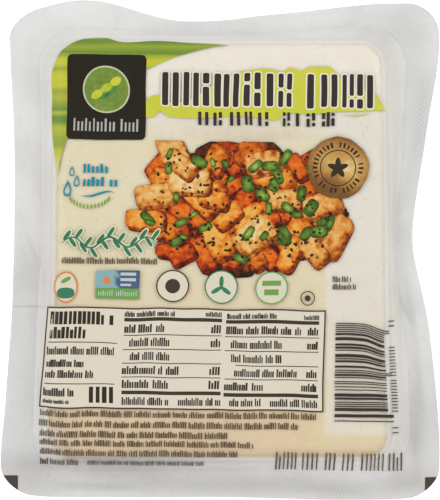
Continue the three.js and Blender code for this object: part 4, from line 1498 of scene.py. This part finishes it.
printPiece("table_marks", [
    (markLines(draw, boldRows, weight=0.26, pitch=0.33, tall=0.75), 1),
    (markLines(draw, firmRows, weight=0.215, tall=0.45), 1),
    (markLines(draw, plainRows, weight=0.185, pitch=0.25, tall=0.45), 1),
], inkMaterial("tableMarkInk", (42, 34, 25), (58, 48, 37)))

smallRows = [(-48.2, 27.1, -46.2, -44.5), (-48.3, 22.2, -49.1, -47.3), (-48.0, 3.3, -51.9, -50.1),
             (-47.9, 10.2, -54.3, -52.6), (-47.8, 6.1, -57.0, -55.3), (-47.6, -37.0, -59.8, -58.1),
             (-34.6, -2.9, -59.6, -58.4), (-43.8, -17.4, -4.1, -2.4), (30.8, 36.0, -8.2, -6.6),
             (30.8, 37.4, -10.3, -8.7)]
printPiece("small_lines", [(markLines(draw, smallRows, weight=0.17, tall=0.5), 1)],
           inkMaterial("smallInk", (74, 54, 32), (92, 70, 46)))

# the bar code lies on its side, its longest bars at both ends and in the middle, with ticks to its right
codeForm = {
    "left": 32.0, "right": 45.3, "top": -19.6, "bottom": -46.6, "bars": 30, "slant": 1.6, "seed": 29,
    "guard": 1.6, "guardBars": [0, 1, 14, 15, 28, 29], "widths": (1.0, 2.0, 3.0),
    "shares": (0.58, 0.28, 0.14),
    "tickRuns": ((-17.2, -18.4), (-24.2, -33.0), (-34.6, -43.6), (-48.2, -49.6)), "tickPitch": 0.85,
    "tickRight": 48.3, "tickSlant": 0.05, "tickFrom": -18, "tickLength": 1.7, "tickHalf": 0.16,
}
codeDraw = np.random.default_rng(codeForm["seed"])
codeSteps = codeDraw.choice(codeForm["widths"], codeForm["bars"] * 2 - 1, p=codeForm["shares"])
codeEdges = np.concatenate(([0], np.cumsum(codeSteps))) / codeSteps.sum()
codeLength = codeForm["top"] - codeForm["bottom"]
codeEdges = codeForm["top"] - codeLength * codeEdges
codeRight = codeForm["right"] + codeForm["slant"] * (codeForm["top"] - codeEdges[::2]) / codeLength
codeRight[codeForm["guardBars"]] += codeForm["guard"]
codeLeft = np.full(codeForm["bars"], codeForm["left"])
codeBoxes = np.stack((codeLeft, codeEdges[1::2], codeRight, codeEdges[::2]), -1)
codeTicks = []
for high, low in codeForm["tickRuns"]:
    ticks = np.linspace(high, low, max(2, round((high - low) / codeForm["tickPitch"])))
    right = codeForm["tickRight"] + codeForm["tickSlant"] * (codeForm["tickFrom"] - ticks)
    half = codeForm["tickHalf"]
    codeTicks.append(np.stack((right - codeForm["tickLength"], ticks - half, right, ticks + half), -1))
printPiece("bar_code", [(bars(codeBoxes), 1), (bars(np.concatenate(codeTicks)), 1)],
           inkMaterial("codeInk", (52, 45, 38)))

weightSpans = [(16.1, 22.4), (23.3, 28.2), (29.4, 33.0), (34.2, 37.9), (39.3, 46.2), (47.0, 51.4)]
weightRows = [(a0, a1, -60.4, -55.4) for a0, a1 in weightSpans]
printPiece("weight_line", [(markLines(draw, weightRows, weight=0.09, pitch=0.2, tall=0.85), 1)],
           inkMaterial("weightInk", (88, 74, 58), (106, 94, 80)))
print("scene: table, small lines and code")


def cornerMark(name, fromTurn, toTurn, limitX, limitY, rows=10, columns=60):
    # the flange's corner beyond an upright line at limitX and below a level one at limitY, just above it
    turns = np.linspace(fromTurn, toTurn, columns)
    seal, cut = sealLine(turns), cutLine(turns)
    shareX = (limitX - seal[:, 0]) / (cut[:, 0] - seal[:, 0])
    shareY = (limitY - seal[:, 1]) / (cut[:, 1] - seal[:, 1])
    inner = np.clip(np.maximum(shareX, shareY), 0, 1)
    share = inner + (1 - inner) * np.linspace(0, 1, rows)[:, None]
    points = flangeSheet(np.broadcast_to(turns, share.shape), share)
    points[..., 2] += flangeLook["thickness"] / 2 + 2 * labelForm["lift"]
    dressPack(makePiece(name, points.reshape(-1, 3), gridQuads(rows, columns), cornerInk))


cornerInk = inkMaterial("cornerInk", (70, 60, 50))
cornerMark("left_corner_mark", 5.86, 6.1, -56.1, -62.4)
cornerMark("right_corner_mark", 7.9, 8.14, 56.8, -62.9)
print("scene: corner marks")

studio = {
    "cameraHeight": 0.9, "sensor": 36.0, "pixel": 0.000275, "frameLong": 500, "clip": (0.01, 20),
    "floor": (0.62, 0.62, 0.62), "floorDark": (0.6, 0.6, 0.6), "floorGlow": 0.68, "floorRoughness": 0.85,
    "floorGrain": (300.0, 3.0), "floorHalf": 1600, "floorLines": 9, "floorDrop": -0.2, "sky": 0.62,
    "aim": (0, 0, 0.03), "boxSize": 0.9,
    # each softbox: its place and power
    "softboxes": [((-1.0, 0.35, 0.95), 6.0), ((1.0, 0.5, 0.95), 6.0), ((0.0, -1.1, 1.0), 3.0)],
}


def makeFloor():
    # a level square grid just below the pack
    count = studio["floorLines"]
    line = np.linspace(-studio["floorHalf"], studio["floorHalf"], count)
    x, y = np.meshgrid(line, line, indexing="ij")
    points = np.stack((x, y, np.full_like(x, studio["floorDrop"])), -1).reshape(-1, 3)
    material, tree, shader, place = startMaterial("paleFloor")
    grain = mapRange(tree, noiseNode(tree, place, *studio["floorGrain"]), *noiseSpan)
    link(tree, mixColour(tree, grain, studio["floor"], studio["floorDark"]), shader.inputs["Base Color"])
    shader.inputs["Roughness"].default_value = studio["floorRoughness"]
    shader.inputs["Emission Color"].default_value = (1, 1, 1, 1)
    shader.inputs["Emission Strength"].default_value = studio["floorGlow"]
    makePiece("floor", points, gridQuads(count, count), material)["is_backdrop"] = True


def makeLights():
    # a white sky and square softboxes, each turned towards the aim
    world = bpy.data.worlds.new("studio")
    world.use_nodes = True
    world.node_tree.nodes["Background"].inputs["Color"].default_value = (1, 1, 1, 1)
    world.node_tree.nodes["Background"].inputs["Strength"].default_value = studio["sky"]
    bpy.context.scene.world = world
    for number, (place, power) in enumerate(studio["softboxes"]):
        light = bpy.data.lights.new(f"softbox{number}", "AREA")
        light.shape = "SQUARE"
        light.size = studio["boxSize"]
        light.energy = power
        lamp = bpy.data.objects.new(f"softbox{number}", light)
        bpy.context.scene.collection.objects.link(lamp)
        lamp.location = place
        lamp.rotation_euler = (Vector(studio["aim"]) - Vector(place)).to_track_quat("-Z", "Y").to_euler()


def makeCamera():
    # straight above the face, the long side of the frame spanning frameLong pixels at the face's height
    camera = bpy.data.cameras.new("camera")
    camera.sensor_width = studio["sensor"]
    camera.lens = studio["sensor"] * studio["cameraHeight"] / (studio["frameLong"] * studio["pixel"])
    camera.clip_start, camera.clip_end = studio["clip"]
    rig = bpy.data.objects.new("camera", camera)
    bpy.context.scene.collection.objects.link(rig)
    halfPixel = studio["pixel"] / 2
    rig.location = (-halfPixel, halfPixel, packForm["blockHeight"] * millimetre + studio["cameraHeight"])
    rig.rotation_euler = (0, 0, 0)
    bpy.context.scene.camera = rig


makeFloor()
makeLights()
makeCamera()
bpy.context.scene.view_settings.view_transform = "Standard"
print("scene: studio")

low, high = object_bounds()
